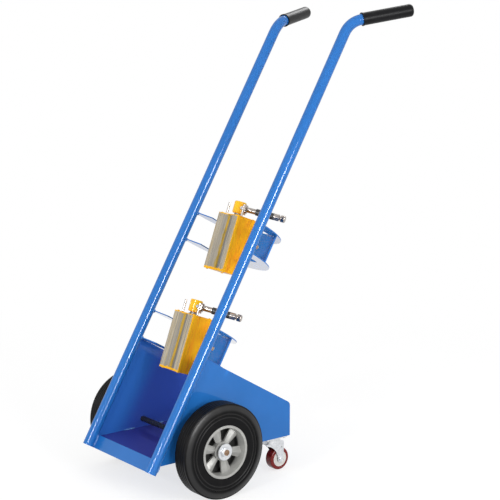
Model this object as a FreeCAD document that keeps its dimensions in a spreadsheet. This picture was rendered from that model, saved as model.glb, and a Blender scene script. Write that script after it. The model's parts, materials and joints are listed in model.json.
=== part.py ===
"""Cylinder hand truck with two lifting magnets, standing on its four wheels.

Millimetres, +Z up, +Y to the back, +X to the side that the levers point to.
The origin is on the floor, in the middle of the truck's outline.
"""
import FreeCAD
import Part
import Sketcher
import os
from math import atan2, sqrt

doc = FreeCAD.newDocument("cylinder_hand_truck")
sheet = doc.addObject("Spreadsheet::Sheet", "sizes")

SIZES = (
    # Stance
    ("wheel_radius", 127.0, "main wheel, floor to axle"),
    ("axle_y", -235.08, "axle, from the middle of the outline"),
    ("lean", 30.34, "rails, degrees from upright"),
    # Rails and handles
    ("rail_radius", 15.0, "tube, outside"),
    ("rail_wall", 2.0, "tube wall"),
    ("rail_x", 153.4, "rail centre line from the middle"),
    ("rail_forward", 134.6, "rail centre line in front of the axle, square to the rails"),
    ("rail_foot", 127.8, "axle down to the rail's foot, along the rail"),
    ("handle_height", 1200.5, "axle up to the handle's corner, along the rail"),
    ("handle_reach", 182.0, "handle's corner to the tube's end"),
    ("handle_bend", 52.5, "turn of the tube at the handle, degrees"),
    ("handle_splay", 28.95, "bend turned outwards about the rail, degrees"),
    ("bend_radius", 72.0, "centre line of the bend"),
    ("grip_wall", 2.6, "handle grip, wall"),
    ("grip_cap", 4.0, "handle grip, closed end"),
    ("grip_length", 146.0, "handle grip over the tube"),
    ("grip_rounding", 7.5, "handle grip, rounded end"),
    ("grip_lip", 1.2, "handle grip, rolled lip at its open end"),
    ("grip_lip_length", 4.0, "handle grip, rolled lip along the tube"),
    # Box
    ("sheet_thickness", 4.0, "side plates, back panel, floor and kick strip"),
    ("box_bottom", 100.0, "underside of the box above the floor"),
    ("box_back", 281.0, "back of the box behind the axle"),
    ("box_corner", 15.0, "rounded upper back corner"),
    ("kick_height", 37.0, "kick strip, along the rails"),
    ("kick_set", 13.0, "kick strip's front behind the rails' centre lines"),
    # Brackets
    ("lower_bracket", 242.0, "axle up to the middle of the lower bracket, along the rail"),
    ("upper_bracket", 546.0, "axle up to the middle of the upper bracket, along the rail"),
    ("bracket_height", 85.0, "bracket, outside its two plates"),
    ("bracket_plate", 3.0, "bracket plates"),
    ("web_plate", 5.0, "bracket webs"),
    ("notch_half", 98.0, "half the notch in a bracket plate"),
    ("notch_shoulder", 104.0, "notch shoulder in front of the axle"),
    ("notch_radius", 15.0, "notch inner corners"),
    ("weld_angle", 20.0, "where a plate's front edge meets the tube, degrees"),
    ("web_inset", 14.9, "web's ends inside the half disc's edge"),
    ("window_half_height", 20.0, "half the window for the lug"),
    # Magnet pivots
    ("pivot_forward", 30.0, "pivot pin in front of the axle"),
    ("pin_radius", 6.0, "pivot pin"),
    ("pin_head_radius", 7.6, "pivot pin's head and collar"),
    ("pin_head", 4.0, "pivot pin's head and collar, length"),
    ("ear_radius", 14.0, "rounded end of ears and lugs"),
    ("ear_thickness", 6.0, "pivot ear"),
    ("lug_thickness", 16.0, "lug on the magnet's back"),
    ("side_gap", 1.0, "between the lug and an ear"),
    ("running_gap", 0.05, "a pin or shaft in its hole, on the radius"),
    ("free_gap", 0.4, "between pieces that move past each other"),
    # Magnets
    ("magnet_width", 88.0, "lifting magnet across"),
    ("magnet_depth", 70.0, "pole face to back"),
    ("magnet_length", 160.0, "over both end plates"),
    ("magnet_drop", 8.3, "upper magnet's middle below its pivot"),
    ("lower_lift", 5.5, "lower magnet higher on its lug than the upper one"),
    ("pole_face", 90.8, "pole face in front of the pivot"),
    ("end_plate", 6.0, "end plate"),
    ("magnet_chamfer", 1.5, "long outer edges of the magnet"),
    ("pole_land", 23.0, "pole's outer side to its groove"),
    ("groove_depth", 6.0, "shallow groove in the pole faces"),
    ("strip_half", 4.5, "half the strip between the poles"),
    ("pole_wall", 3.6, "pole between its groove and the rotor's bore"),
    ("rotor_radius", 22.0, "rotor"),
    ("shaft_radius", 10.0, "rotor's shaft"),
    # Levers
    ("knob_radius", 17.0, "round hub on the rotor's shaft"),
    ("knob_height", 34.0, "round hub"),
    ("knob_chamfer", 2.0, "edge of the round hub"),
    ("knob_gap", 7.0, "shaft's neck under the round hub"),
    ("lever_angle", 38.0, "lever turned back from +X, degrees"),
    ("lever_radius", 7.5, "lever rod"),
    ("lever_inner", 9.0, "lever rod's inner end from the hub's far side"),
    ("lever_reach", 134.0, "hub's axis to the lever's tip"),
    ("lever_tip", 15.0, "lever's barrel tip, length"),
    ("lever_tip_radius", 9.8, "lever's barrel tip"),
    ("lever_tip_rounding", 4.0, "lever's barrel tip, rounded ends"),
    ("lever_neck", 2.5, "groove before the barrel tip, length"),
    ("lever_neck_depth", 2.0, "groove before the barrel tip"),
    ("lever_collar", 15.0, "collar beyond the sleeve, length"),
    ("lever_grip_start", 49.0, "hub's axis to the lever's sleeve"),
    ("lever_grip_length", 51.5, "lever's sleeve"),
    ("lever_grip_radius", 9.5, "lever's sleeve and collar"),
    ("key_start", 17.6, "hub's axis to the key plate"),
    ("key_thickness", 3.5, "key plate"),
    ("key_height", 24.0, "key plate along the rotor"),
    ("key_width", 26.0, "key plate across the lever"),
    ("key_corner", 6.0, "key plate's rounded corners"),
    ("stop_pin_radius", 3.2, "stop pin"),
    ("stop_pin_height", 34.5, "stop pin"),
    ("stop_pin_x", 33.0, "stop pin from the middle"),
    ("stop_pin_depth", 20.0, "stop pin behind the pole face"),
    # Main wheels
    ("wheel_gap", 23.1, "side plate to tyre"),
    ("tyre_width", 54.0, "tyre across its sidewalls"),
    ("tread_width", 42.0, "tyre across its tread"),
    ("sidewall_radius", 104.0, "where the rounded shoulder meets the flat sidewall"),
    ("groove_count", 4, "tread grooves"),
    ("tread_groove", 2.0, "tread groove, depth and half its width"),
    ("outer_rib", 101.0, "outer rib round the sidewall, radius"),
    ("inner_rib", 92.0, "inner rib round the sidewall, radius"),
    ("rib_width", 3.0, "ribs round the sidewall"),
    ("rib_height", 0.9, "ribs round the sidewall"),
    ("rim_radius", 70.8, "rim's lip"),
    ("rim_lip", 4.0, "rim's lip, thickness"),
    ("rim_width", 52.6, "rim over its lips"),
    ("rim_flange", 4.8, "rim's lip above the tyre's seat"),
    ("rim_wall", 5.0, "rim under the seat"),
    ("rim_flare", 3.0, "rim's inside wider at its lips"),
    ("boss_radius", 25.0, "wheel's boss"),
    ("boss_outer", 14.5, "boss face outside the wheel's middle plane"),
    ("boss_inner", 24.0, "boss face inside the wheel's middle plane"),
    ("boss_tunnel", 2.0, "boss clear of the axle between its bearings"),
    ("spoke_count", 6, "spokes"),
    ("spoke_sink", 2.0, "spoke's root inside the boss"),
    ("spoke_root", 17.0, "spoke's width at the boss"),
    ("spoke_tip", 31.0, "spoke's width at the rim"),
    ("spoke_ridge", 4.0, "spoke's flat ridge, width"),
    ("spoke_back", 1.0, "spoke's flat back outside the wheel's middle plane"),
    ("spoke_edge", 5.0, "spoke's thickness at its edges"),
    ("spoke_crown", 6.0, "spoke's ridge above its edges"),
    ("spoke_turn", 46.0, "first spoke from straight up, degrees"),
    ("hub_back", 4.0, "hub's closed back, thickness"),
    ("hub_back_inset", 6.0, "hub's closed back inside the rim's edge"),
    # Axle
    ("axle_radius", 7.94, "axle rod"),
    ("axle_end", 1.1, "axle beyond its nut"),
    ("bearing_radius", 17.5, "wheel bearing, outside"),
    ("bearing_length", 12.0, "wheel bearing, in the boss"),
    ("bearing_lip_radius", 12.0, "bearing's inner ring where it stands out"),
    ("bearing_lip_outer", 7.0, "inner ring standing out of the boss, outside"),
    ("bearing_lip_inner", 2.0, "inner ring standing out of the boss, inside"),
    ("washer_radius", 22.2, "axle washer"),
    ("washer_thickness", 3.0, "axle washer"),
    ("nut_flats", 24.0, "axle nut across flats"),
    ("nut_height", 6.5, "axle nut"),
    ("spacer_radius", 13.0, "tube between side plate and wheel"),
    # Casters
    ("caster_side", 27.4, "kingpin inside the rail's centre line"),
    ("caster_back", 43.0, "kingpin in front of the box's back"),
    ("caster_trail", 23.0, "caster wheel's axle behind the kingpin"),
    ("caster_wheel", 31.75, "caster wheel, radius"),
    ("caster_tread", 26.0, "caster wheel, width"),
    ("caster_core", 22.0, "caster wheel's core, radius"),
    ("caster_rounding", 4.0, "caster tread's rounded edge"),
    ("caster_plate_x", 60.0, "caster top plate, across"),
    ("caster_plate_y", 78.0, "caster top plate, along"),
    ("caster_plate", 3.0, "caster top plate, thickness"),
    ("caster_corner", 7.0, "caster top plate, rounded corners"),
    ("caster_bolt_x", 22.0, "caster bolts from the kingpin, across"),
    ("caster_bolt_y", 30.0, "caster bolts from the kingpin, along"),
    ("caster_bolt", 4.0, "caster bolt, radius"),
    ("race_radius", 27.0, "swivel race"),
    ("race_height", 5.0, "fixed half of the swivel race"),
    ("fork_race", 12.0, "turning half of the swivel race"),
    ("fork_wall", 2.5, "fork's pressed sheet"),
    ("fork_gap", 1.5, "fork leg to caster wheel"),
    ("fork_lip", 6.0, "fork's front edge below its crown"),
    ("fork_scoop", 46.0, "hollow curve of the fork's front edge"),
    ("fork_back", 7.0, "fork's crown behind the race"),
    ("fork_hole", 2.5, "small hole in each leg, radius"),
    ("fork_hole_y", 25.0, "small hole behind the kingpin"),
    ("fork_hole_z", 67.0, "small hole above the floor"),
    ("kingpin_radius", 5.0, "kingpin"),
    ("kingpin_head", 9.0, "kingpin's lower head, radius"),
    ("caster_axle", 4.0, "caster wheel's axle, radius"),
    ("caster_nut", 7.0, "caster axle's head and nut, radius"),
)

for row, (alias, value, note) in enumerate(SIZES, start=1):
    sheet.set(f"A{row}", alias)
    sheet.set(f"B{row}", str(value))
    sheet.set(f"C{row}", note)
    sheet.setAlias(f"B{row}", alias)
doc.recompute()

VECTOR = FreeCAD.Vector
SIDES = (("left", -1), ("right", 1))
LEVELS = ("lower", "upper")
pieces = []


def size(expression):
    """Present value of an expression on the sheet's sizes."""
    return float(sheet.evalExpression(str(expression)))


def bound(expression):
    """The same expression with each size read from the sheet, for other objects."""
    words = []
    word = ""
    names = {alias for alias, value, note in SIZES}
    for letter in str(expression) + " ":
        if letter.isalnum() or letter == "_":
            word += letter
        else:
            words.append("sizes." + word if word in names else word)
            words.append(letter)
            word = ""
    return "".join(words).strip()


# Places: each is the text of a placement, and they multiply from left to right.

def at(x=0, y=0, z=0):
    return bound(f"placement(vector({x}; {y}; {z}); rotation(vector(0; 0; 1); 0))")


def turned(axis, angle):
    return bound(f"placement(vector(0; 0; 0); rotation(vector({axis}); {angle}))")


ABOUT_X = "1; 0; 0"
ABOUT_Y = "0; 1; 0"
ABOUT_Z = "0; 0; 1"
AXLE = at(0, "axle_y", "wheel_radius")
GROUND = at(0, "axle_y", 0)
# Rail frame: x across, y square to the rails and backwards, z up along the rails
RAIL = f"{AXLE} * {turned(ABOUT_X, '-lean')}"
# A bracket's web stands in front of the pivot, just clear of the pin's head.
PIVOT_TO_WEB = "(web_plate + pin_head_radius + free_gap)"
# The pole faces sag forward from the rails until the magnet's back meets its bracket.
STOP_REACH = f"sqrt((bracket_height / 2)^2 + {PIVOT_TO_WEB}^2)"
SAG = (f"(asin((pole_face - magnet_depth - free_gap) / {STOP_REACH})"
       f" - atan2({PIVOT_TO_WEB}; bracket_height / 2))")


def magnet_frame(level):
    """Frame of one magnet: its pivot pin's middle, y to its back, z up along it."""
    pivot = at(0, "-pivot_forward", f"{level}_bracket")
    return f"{RAIL} * {pivot} * {turned(ABOUT_X, SAG)}"


def place(piece, *places):
    piece.setExpression("Placement", " * ".join(places))
    return piece


def keep(piece, label):
    """Name a finished piece, and list it to be written."""
    piece.Label = label
    pieces.append(piece)
    return piece


# Sketches and features

def origin_plane(body, role):
    return next(item for item in body.Origin.OriginFeatures if item.Role == role)


def new_body(name):
    return doc.addObject("PartDesign::Body", name)


def new_sketch(body, plane):
    sketch = body.newObject("Sketcher::SketchObject", body.Name + "_sketch")
    sketch.AttachmentSupport = [(origin_plane(body, plane), "")]
    sketch.MapMode = "FlatFace"
    return sketch


def fix(sketch, kind, where, expression):
    """One dimension of a sketch, bound to the sheet."""
    index = sketch.addConstraint(Sketcher.Constraint(kind, *where, size(expression)))
    name = f"dimension_{index}"
    sketch.renameConstraint(index, name)
    sketch.setExpression("Constraints." + name, bound(expression))


def fix_point(sketch, edge, end, x, y):
    fix(sketch, "DistanceX", (-1, 1, edge, end), x)
    fix(sketch, "DistanceY", (-1, 1, edge, end), y)


def arc_through(start, end, radius, leftwards):
    """Short arc from start to end, turning left or right, as an anticlockwise edge."""
    chord = end - start
    half = chord.Length / 2
    across = VECTOR(-chord.y, chord.x, 0).normalize()
    side = 1 if leftwards else -1
    centre = (start + end) / 2 + across * side * sqrt(max(radius ** 2 - half ** 2, 0))
    first, last = (start, end) if leftwards else (end, start)
    begin = atan2(first.y - centre.y, first.x - centre.x)
    finish = atan2(last.y - centre.y, last.x - centre.x)
    circle = Part.Circle(centre, VECTOR(0, 0, 1), radius)
    return Part.ArcOfCircle(circle, begin, finish)


def draw(sketch, corners, arcs=None, closed=True):
    """Outline through corners; arcs maps an edge's number to (radius, leftwards)."""
    arcs = arcs or {}
    spots = [VECTOR(size(x), size(y), 0) for x, y in corners]
    edge_count = len(corners) if closed else len(corners) - 1
    ends = []
    for number in range(edge_count):
        start = spots[number]
        end = spots[(number + 1) % len(spots)]
        if number in arcs:
            radius, leftwards = arcs[number]
            edge = sketch.addGeometry(arc_through(start, end, size(radius), leftwards), False)
            ends.append((edge, 1, 2) if leftwards else (edge, 2, 1))
        else:
            edge = sketch.addGeometry(Part.LineSegment(start, end), False)
            ends.append((edge, 1, 2))
    joints = edge_count if closed else edge_count - 1
    for number in range(joints):
        edge, finish = ends[number][::2]
        follower, start = ends[(number + 1) % edge_count][:2]
        sketch.addConstraint(Sketcher.Constraint("Coincident", edge, finish, follower, start))
    for end, (x, y) in zip(ends, corners):
        fix_point(sketch, *end[:2], x, y)
    if not closed:
        fix_point(sketch, *ends[-1][::2], *corners[-1])
    for number, (radius, leftwards) in arcs.items():
        fix(sketch, "Radius", (ends[number][0],), radius)


def draw_circle(sketch, x, y, radius):
    centre = VECTOR(size(x), size(y), 0)
    edge = sketch.addGeometry(Part.Circle(centre, VECTOR(0, 0, 1), size(radius)), False)
    fix(sketch, "Radius", (edge,), radius)
    fix_point(sketch, edge, 3, x, y)


def pad(body, sketch, length):
    """Pad to both sides of the sketch."""
    feature = body.newObject("PartDesign::Pad", body.Name + "_pad")
    feature.Profile = sketch
    feature.SideType = "Symmetric"
    feature.setExpression("Length", bound(length))
    return feature


def revolve(body, sketch):
    """Revolve a sketch on the XZ plane about the body's z axis."""
    feature = body.newObject("PartDesign::Revolution", body.Name + "_revolution")
    feature.Profile = sketch
    feature.ReferenceAxis = (sketch, ["V_Axis"])
    feature.Angle = 360
    return feature


def plate(name, plane, length, corners, arcs=None, circles=(), inner=()):
    """Body of one pad: an outline with round holes and inner outlines."""
    body = new_body(name)
    sketch = new_sketch(body, plane)
    draw(sketch, corners, arcs)
    for x, y, radius in circles:
        draw_circle(sketch, x, y, radius)
    for hole in inner:
        draw(sketch, hole)
    pad(body, sketch, length)
    return body


def turned_body(name, corners, arcs=None):
    """Body of one revolution about its own z axis; corners are (radius, z)."""
    body = new_body(name)
    sketch = new_sketch(body, "XZ_Plane")
    draw(sketch, corners, arcs)
    revolve(body, sketch)
    return body


def rectangle(x0, y0, x1, y1):
    return [(x0, y0), (x1, y0), (x1, y1), (x0, y1)]


def rounded_rectangle(half_x, half_y, corner):
    """Corners and arcs of a rectangle about the origin with rounded corners."""
    x, y = f"({half_x})", f"({half_y})"
    corners = [(f"{corner} - {x}", f"-{y}"), (f"{x} - {corner}", f"-{y}"),
               (x, f"{corner} - {y}"), (x, f"{y} - {corner}"),
               (f"{x} - {corner}", y), (f"{corner} - {x}", y),
               (f"-{x}", f"{y} - {corner}"), (f"-{x}", f"{corner} - {y}")]
    return corners, {number: (corner, True) for number in (1, 3, 5, 7)}


def ring(inner, outer, low, high):
    return rectangle(inner, low, outer, high)


def cylinder(name, radius, height):
    piece = doc.addObject("Part::Cylinder", name)
    piece.setExpression("Radius", bound(radius))
    piece.setExpression("Height", bound(height))
    return piece


def block(name, length, width, height):
    piece = doc.addObject("Part::Box", name)
    piece.setExpression("Length", bound(length))
    piece.setExpression("Width", bound(width))
    piece.setExpression("Height", bound(height))
    return piece


def cut(name, base, tool):
    piece = doc.addObject("Part::Cut", name)
    piece.Base = base
    piece.Tool = tool
    return piece


def fuse(name, *shapes):
    piece = doc.addObject("Part::MultiFuse", name)
    piece.Shapes = list(shapes)
    return piece


def group(name, members):
    piece = doc.addObject("Part::Compound", name)
    piece.Links = list(members)
    return piece


def hexagon(flats):
    """Corners of a hexagon about the origin, two flats upright."""
    return [(f"{flats} / sqrt(3) * cos({30 + 60 * k})", f"{flats} / sqrt(3) * sin({30 + 60 * k})")
            for k in range(6)]


# Rails: one tube each, straight from the foot, bent once into the handle

STRAIGHT = "(rail_foot + handle_height - bend_radius * tan(handle_bend / 2))"
HANDLE_STRAIGHT = "(handle_reach - bend_radius * tan(handle_bend / 2))"
BEND_Y = "bend_radius * (1 - cos(handle_bend))"
BEND_Z = f"({STRAIGHT} + bend_radius * sin(handle_bend))"


def rail(side, sign):
    body = new_body(side + "_tube")
    ring_sketch = new_sketch(body, "XY_Plane")
    draw_circle(ring_sketch, 0, 0, "rail_radius")
    draw_circle(ring_sketch, 0, 0, "rail_radius - rail_wall")
    path = new_sketch(body, "YZ_Plane")
    tip = (f"{BEND_Y} + {HANDLE_STRAIGHT} * sin(handle_bend)",
           f"{BEND_Z} + {HANDLE_STRAIGHT} * cos(handle_bend)")
    draw(path, [(0, 0), (0, STRAIGHT), (BEND_Y, BEND_Z), tip],
         {1: ("bend_radius", False)}, closed=False)
    pipe = body.newObject("PartDesign::AdditivePipe", side + "_pipe")
    pipe.Profile = ring_sketch
    pipe.Spine = (path, ["Edge1", "Edge2", "Edge3"])
    foot = at(f"{sign} * rail_x", "-rail_forward", "-rail_foot")
    place(body, RAIL, foot, turned(ABOUT_Z, f"{-sign} * handle_splay"))
    return keep(body, side + "_rail")


def grip(side, sign):
    """Closed sleeve over the straight end of the handle; z runs along the handle."""
    start = "(handle_reach - grip_length)"
    outside = "(rail_radius + grip_wall)"
    end = "(handle_reach + grip_cap)"
    body = turned_body(side + "_sleeve", [
        ("rail_radius", start), (f"{outside} + grip_lip", start),
        (f"{outside} + grip_lip", f"{start} + grip_lip_length - grip_lip"),
        (outside, f"{start} + grip_lip_length"), (outside, f"{end} - grip_rounding"),
        (f"{outside} - grip_rounding", end), (0, end), (0, "handle_reach"),
        ("rail_radius", "handle_reach")], {4: ("grip_rounding", True)})
    corner = at(f"{sign} * rail_x", "-rail_forward", "handle_height")
    place(body, RAIL, corner, turned(ABOUT_Z, f"{-sign} * handle_splay"),
          turned(ABOUT_X, "-handle_bend"))
    return keep(body, side + "_grip")


def rail_envelopes():
    """Both straight tubes as solid rods, to cope the plates that meet them."""
    rods = []
    for side, sign in SIDES:
        rod = cylinder(side + "_rod", "rail_radius", STRAIGHT)
        place(rod, RAIL, at(f"{sign} * rail_x", "-rail_forward", "-rail_foot"))
        rods.append(rod)
    return fuse("rail_rods", *rods)


# Box: side plates, back panel, floor and kick strip, in a frame under the axle

BOX_TOP = "(lower_bracket - bracket_height / 2)"
FLOOR_TOP = "(box_bottom + sheet_thickness)"


def on_rail_plane(forward, height):
    """Y of a plane parallel to the rails, forward of the axle, at a height."""
    along = f"((({height}) - wheel_radius - ({forward}) * sin(lean)) / cos(lean))"
    return f"({along} * sin(lean) - ({forward}) * cos(lean))"


TOP_BACK_Z = f"(wheel_radius + {BOX_TOP} / cos(lean) - box_back * tan(lean))"


def side_plate(side, sign, rods):
    top_front = (f"{BOX_TOP} * sin(lean) - rail_forward * cos(lean)",
                 f"wheel_radius + {BOX_TOP} * cos(lean) + rail_forward * sin(lean)")
    # The rounded upper back corner lies between the sloping top and the upright back.
    turn = "((90 - lean) / 2)"
    tangent = f"(box_corner * tan({turn}))"
    body = plate(side + "_side", "YZ_Plane", "sheet_thickness", [
        (on_rail_plane("rail_forward", "box_bottom"), "box_bottom"),
        ("box_back", "box_bottom"),
        ("box_back", f"{TOP_BACK_Z} - {tangent}"),
        (f"box_back - {tangent} * cos(lean)", f"{TOP_BACK_Z} + {tangent} * sin(lean)"),
        top_front], {2: ("box_corner", True)}, circles=[(0, "wheel_radius", "axle_radius")])
    place(body, GROUND, at(f"{sign} * (rail_x + sheet_thickness / 2)", 0, 0))
    return keep(cut(side + "_coped", body, rods), side + "_side_plate")


def box_panels(rods):
    back = plate("back", "XZ_Plane", "sheet_thickness",
                 rectangle("-rail_x", FLOOR_TOP, "rail_x", f"{TOP_BACK_Z} - box_corner"))
    place(back, GROUND, at(0, "box_back - sheet_thickness / 2", 0))
    keep(back, "back_panel")
    behind_kick = "(rail_forward - kick_set - sheet_thickness)"
    bottom = plate("bottom", "YZ_Plane", "2 * rail_x", [
        (on_rail_plane(behind_kick, "box_bottom"), "box_bottom"), ("box_back", "box_bottom"),
        ("box_back", FLOOR_TOP), (on_rail_plane(behind_kick, FLOOR_TOP), FLOOR_TOP)])
    place(bottom, GROUND)
    keep(cut("bottom_coped", bottom, rods), "floor_plate")
    strip = block("strip", "2 * rail_x", "sheet_thickness", "kick_height")
    place(strip, RAIL, at("-rail_x", "kick_set - rail_forward", "-rail_foot"))
    keep(cut("strip_coped", strip, rods), "kick_plate")


# Brackets: half-disc plates notched in front, each pair joined by a flat web

WEB_FRONT = f"(-pivot_forward - {PIVOT_TO_WEB})"
DISC_MIDDLE = "(rail_radius - rail_forward)"
WEB_HALF = f"(sqrt(rail_x^2 - ({WEB_FRONT} - {DISC_MIDDLE})^2) - web_inset)"


def bracket_plate(label, middle):
    """Half disc behind the rails, with a wide notch open to the front."""
    weld_x = "(rail_x - rail_radius * cos(weld_angle))"
    weld_y = "(rail_radius * sin(weld_angle) - rail_forward)"
    corners = [
        ("rail_x", DISC_MIDDLE), (0, f"{DISC_MIDDLE} + rail_x"), ("-rail_x", DISC_MIDDLE),
        (f"-{weld_x}", weld_y), ("-notch_half", "-notch_shoulder"),
        ("-notch_half", f"{WEB_FRONT} - notch_radius"), ("notch_radius - notch_half", WEB_FRONT),
        ("notch_half - notch_radius", WEB_FRONT), ("notch_half", f"{WEB_FRONT} - notch_radius"),
        ("notch_half", "-notch_shoulder"), (weld_x, weld_y)]
    arcs = {0: ("rail_x", True), 1: ("rail_x", True), 2: ("rail_radius", False),
            5: ("notch_radius", False), 7: ("notch_radius", False), 10: ("rail_radius", False)}
    body = plate(label + "_body", "XY_Plane", "bracket_plate", corners, arcs)
    place(body, RAIL, at(0, 0, middle))
    return keep(body, label)


def bracket_web(level):
    """Upright plate between a bracket's two plates, with a window for the lug."""
    half = "(bracket_height / 2 - bracket_plate)"
    window = "(lug_thickness / 2 + side_gap)"
    body = plate(level + "_web", "XZ_Plane", "web_plate",
                 rectangle(f"-{WEB_HALF}", f"-{half}", WEB_HALF, half),
                 inner=[rectangle(f"-{window}", "-window_half_height", window,
                                  "window_half_height")])
    place(body, RAIL, at(0, f"{WEB_FRONT} + web_plate / 2", f"{level}_bracket"))
    return keep(body, level + "_bracket_web")


def brackets():
    offset = "(bracket_height - bracket_plate) / 2"
    bracket_plate("box_top_plate", f"lower_bracket - {offset}")
    bracket_plate("lower_bracket_top_plate", f"lower_bracket + {offset}")
    bracket_plate("upper_bracket_bottom_plate", f"upper_bracket - {offset}")
    bracket_plate("upper_bracket_top_plate", f"upper_bracket + {offset}")
    for level in LEVELS:
        bracket_web(level)


# Pivots: ears welded behind each web, and a pin through them and the magnet's lug

EAR_X = "(lug_thickness / 2 + side_gap + ear_thickness / 2)"


def tongue(name, thickness, base, hole):
    """Plate in the YZ plane with a rounded end about a hole at the origin."""
    return plate(name, "YZ_Plane", thickness, [
        (base, "-ear_radius"), (0, "-ear_radius"), ("ear_radius", 0), (0, "ear_radius"),
        (base, "ear_radius")],
        {1: ("ear_radius", True), 2: ("ear_radius", True)}, circles=[(0, 0, hole)])


def pivots():
    ears = []
    pins = []
    reach = f"({EAR_X} + ear_thickness / 2)"
    for level in LEVELS:
        pivot = at(0, "-pivot_forward", f"{level}_bracket")
        for side, sign in SIDES:
            ear = tongue(f"{level}_{side}_ear", "ear_thickness",
                         f"web_plate - {PIVOT_TO_WEB}", "pin_radius")
            ears.append(place(ear, RAIL, pivot, at(f"{sign} * {EAR_X}", 0, 0)))
        pin = turned_body(level + "_pin", [
            (0, f"-{reach} - pin_head"), ("pin_head_radius", f"-{reach} - pin_head"),
            ("pin_head_radius", f"-{reach}"), ("pin_radius", f"-{reach}"),
            ("pin_radius", reach), ("pin_head_radius", reach),
            ("pin_head_radius", f"{reach} + pin_head"), (0, f"{reach} + pin_head")])
        pins.append(place(pin, RAIL, pivot, turned(ABOUT_Y, 90)))
    keep(group("ears", ears), "pivot_ears")
    keep(group("pins", pins), "pivot_pins")


# Lifting magnets, each in the frame of its pivot

FACE_Y = "(-pole_face)"
BACK_Y = "(magnet_depth - pole_face)"
BORE = "(rotor_radius + free_gap)"
ROTOR_Y = f"(groove_depth + pole_wall + {BORE} - pole_face)"
POLE_HALF = "(magnet_length / 2 - end_plate)"
# Each magnet's middle below its pivot
DROP = {"lower": "(magnet_drop - lower_lift)", "upper": "magnet_drop"}
# Half of the magnet's outline, from the groove's edge round its outer side to the back
OUTER_SIDE = [("magnet_width / 2 - pole_land", FACE_Y),
              ("magnet_width / 2 - magnet_chamfer", FACE_Y),
              ("magnet_width / 2", f"{FACE_Y} + magnet_chamfer"),
              ("magnet_width / 2", f"{BACK_Y} - magnet_chamfer"),
              ("magnet_width / 2 - magnet_chamfer", BACK_Y)]


def mirrored(corners):
    return [(f"-({x})", y) for x, y in corners]


def pole(level, side, sign):
    """Half of the magnet's block: a pole with half the rotor's bore and half the groove."""
    edge = f"sqrt({BORE}^2 - strip_half^2)"
    corners = [("strip_half", f"{FACE_Y} + groove_depth"), *OUTER_SIDE, ("strip_half", BACK_Y),
               ("strip_half", f"{ROTOR_Y} + {edge}"), (BORE, ROTOR_Y),
               ("strip_half", f"{ROTOR_Y} - {edge}")]
    bore_edges = (len(OUTER_SIDE) + 2, len(OUTER_SIDE) + 3)
    arcs = {number: (BORE, sign < 0) for number in bore_edges}
    if sign < 0:
        corners = mirrored(corners)
    body = plate(f"{level}_{side}_pole", "XY_Plane", f"2 * {POLE_HALF}", corners, arcs)
    place(body, magnet_frame(level), at(0, 0, f"-{DROP[level]}"))
    return keep(body, f"{level}_magnet_{side}_pole")


def spacer_strips(level):
    """Strips that part the poles in front of the rotor and behind it."""
    strips = []
    for name, low, high in (("front", f"{FACE_Y} + groove_depth", f"{ROTOR_Y} - {BORE}"),
                            ("rear", f"{ROTOR_Y} + {BORE}", BACK_Y)):
        strip = plate(f"{level}_{name}_strip", "XY_Plane", f"2 * {POLE_HALF}",
                      rectangle("-strip_half", low, "strip_half", high))
        strips.append(place(strip, magnet_frame(level), at(0, 0, f"-{DROP[level]}")))
    return keep(group(level + "_strips", strips), f"{level}_magnet_spacers")


def end_plates(level):
    plates = []
    half = [("strip_half", f"{FACE_Y} + groove_depth"), *OUTER_SIDE]
    corners = half + mirrored(half)[::-1]
    for name, sign in (("bottom", -1), ("top", 1)):
        end = plate(f"{level}_{name}_end", "XY_Plane", "end_plate", corners,
                    circles=[(0, ROTOR_Y, "shaft_radius + running_gap")])
        middle = f"{sign} * (magnet_length - end_plate) / 2 - {DROP[level]}"
        plates.append(place(end, magnet_frame(level), at(0, 0, middle)))
    return keep(group(level + "_ends", plates), f"{level}_magnet_end_plates")


def lug(level):
    body = tongue(level + "_tongue", "lug_thickness", BACK_Y, "pin_radius + running_gap")
    place(body, magnet_frame(level))
    return keep(body, f"{level}_magnet_lug")


def stop_pins(level):
    pins = []
    for side, sign in SIDES:
        pin = cylinder(f"{level}_{side}_stop", "stop_pin_radius", "stop_pin_height")
        spot = at(f"{sign} * stop_pin_x", f"{FACE_Y} + stop_pin_depth",
                  f"magnet_length / 2 - {DROP[level]}")
        pins.append(place(pin, magnet_frame(level), spot))
    return keep(group(level + "_stops", pins), f"{level}_magnet_stop_pins")


def rotor(level):
    """Drum in the bore, with a shaft through both end plates up into the knob."""
    drum = f"({POLE_HALF} - free_gap)"
    body = turned_body(level + "_drum", [
        (0, "-magnet_length / 2"), ("shaft_radius", "-magnet_length / 2"),
        ("shaft_radius", f"-{drum}"), ("rotor_radius", f"-{drum}"), ("rotor_radius", drum),
        ("shaft_radius", drum), ("shaft_radius", "magnet_length / 2 + knob_gap"),
        (0, "magnet_length / 2 + knob_gap")])
    place(body, magnet_frame(level), at(0, ROTOR_Y, f"-{DROP[level]}"))
    return keep(body, level + "_rotor")


def lever_frame(level):
    """Frame of one lever: the knob's middle, x along the lever, z up along the rotor."""
    middle = f"magnet_length / 2 - {DROP[level]} + knob_gap + knob_height / 2"
    return f"{magnet_frame(level)} * {at(0, ROTOR_Y, middle)} * {turned(ABOUT_Z, 'lever_angle')}"


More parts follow.
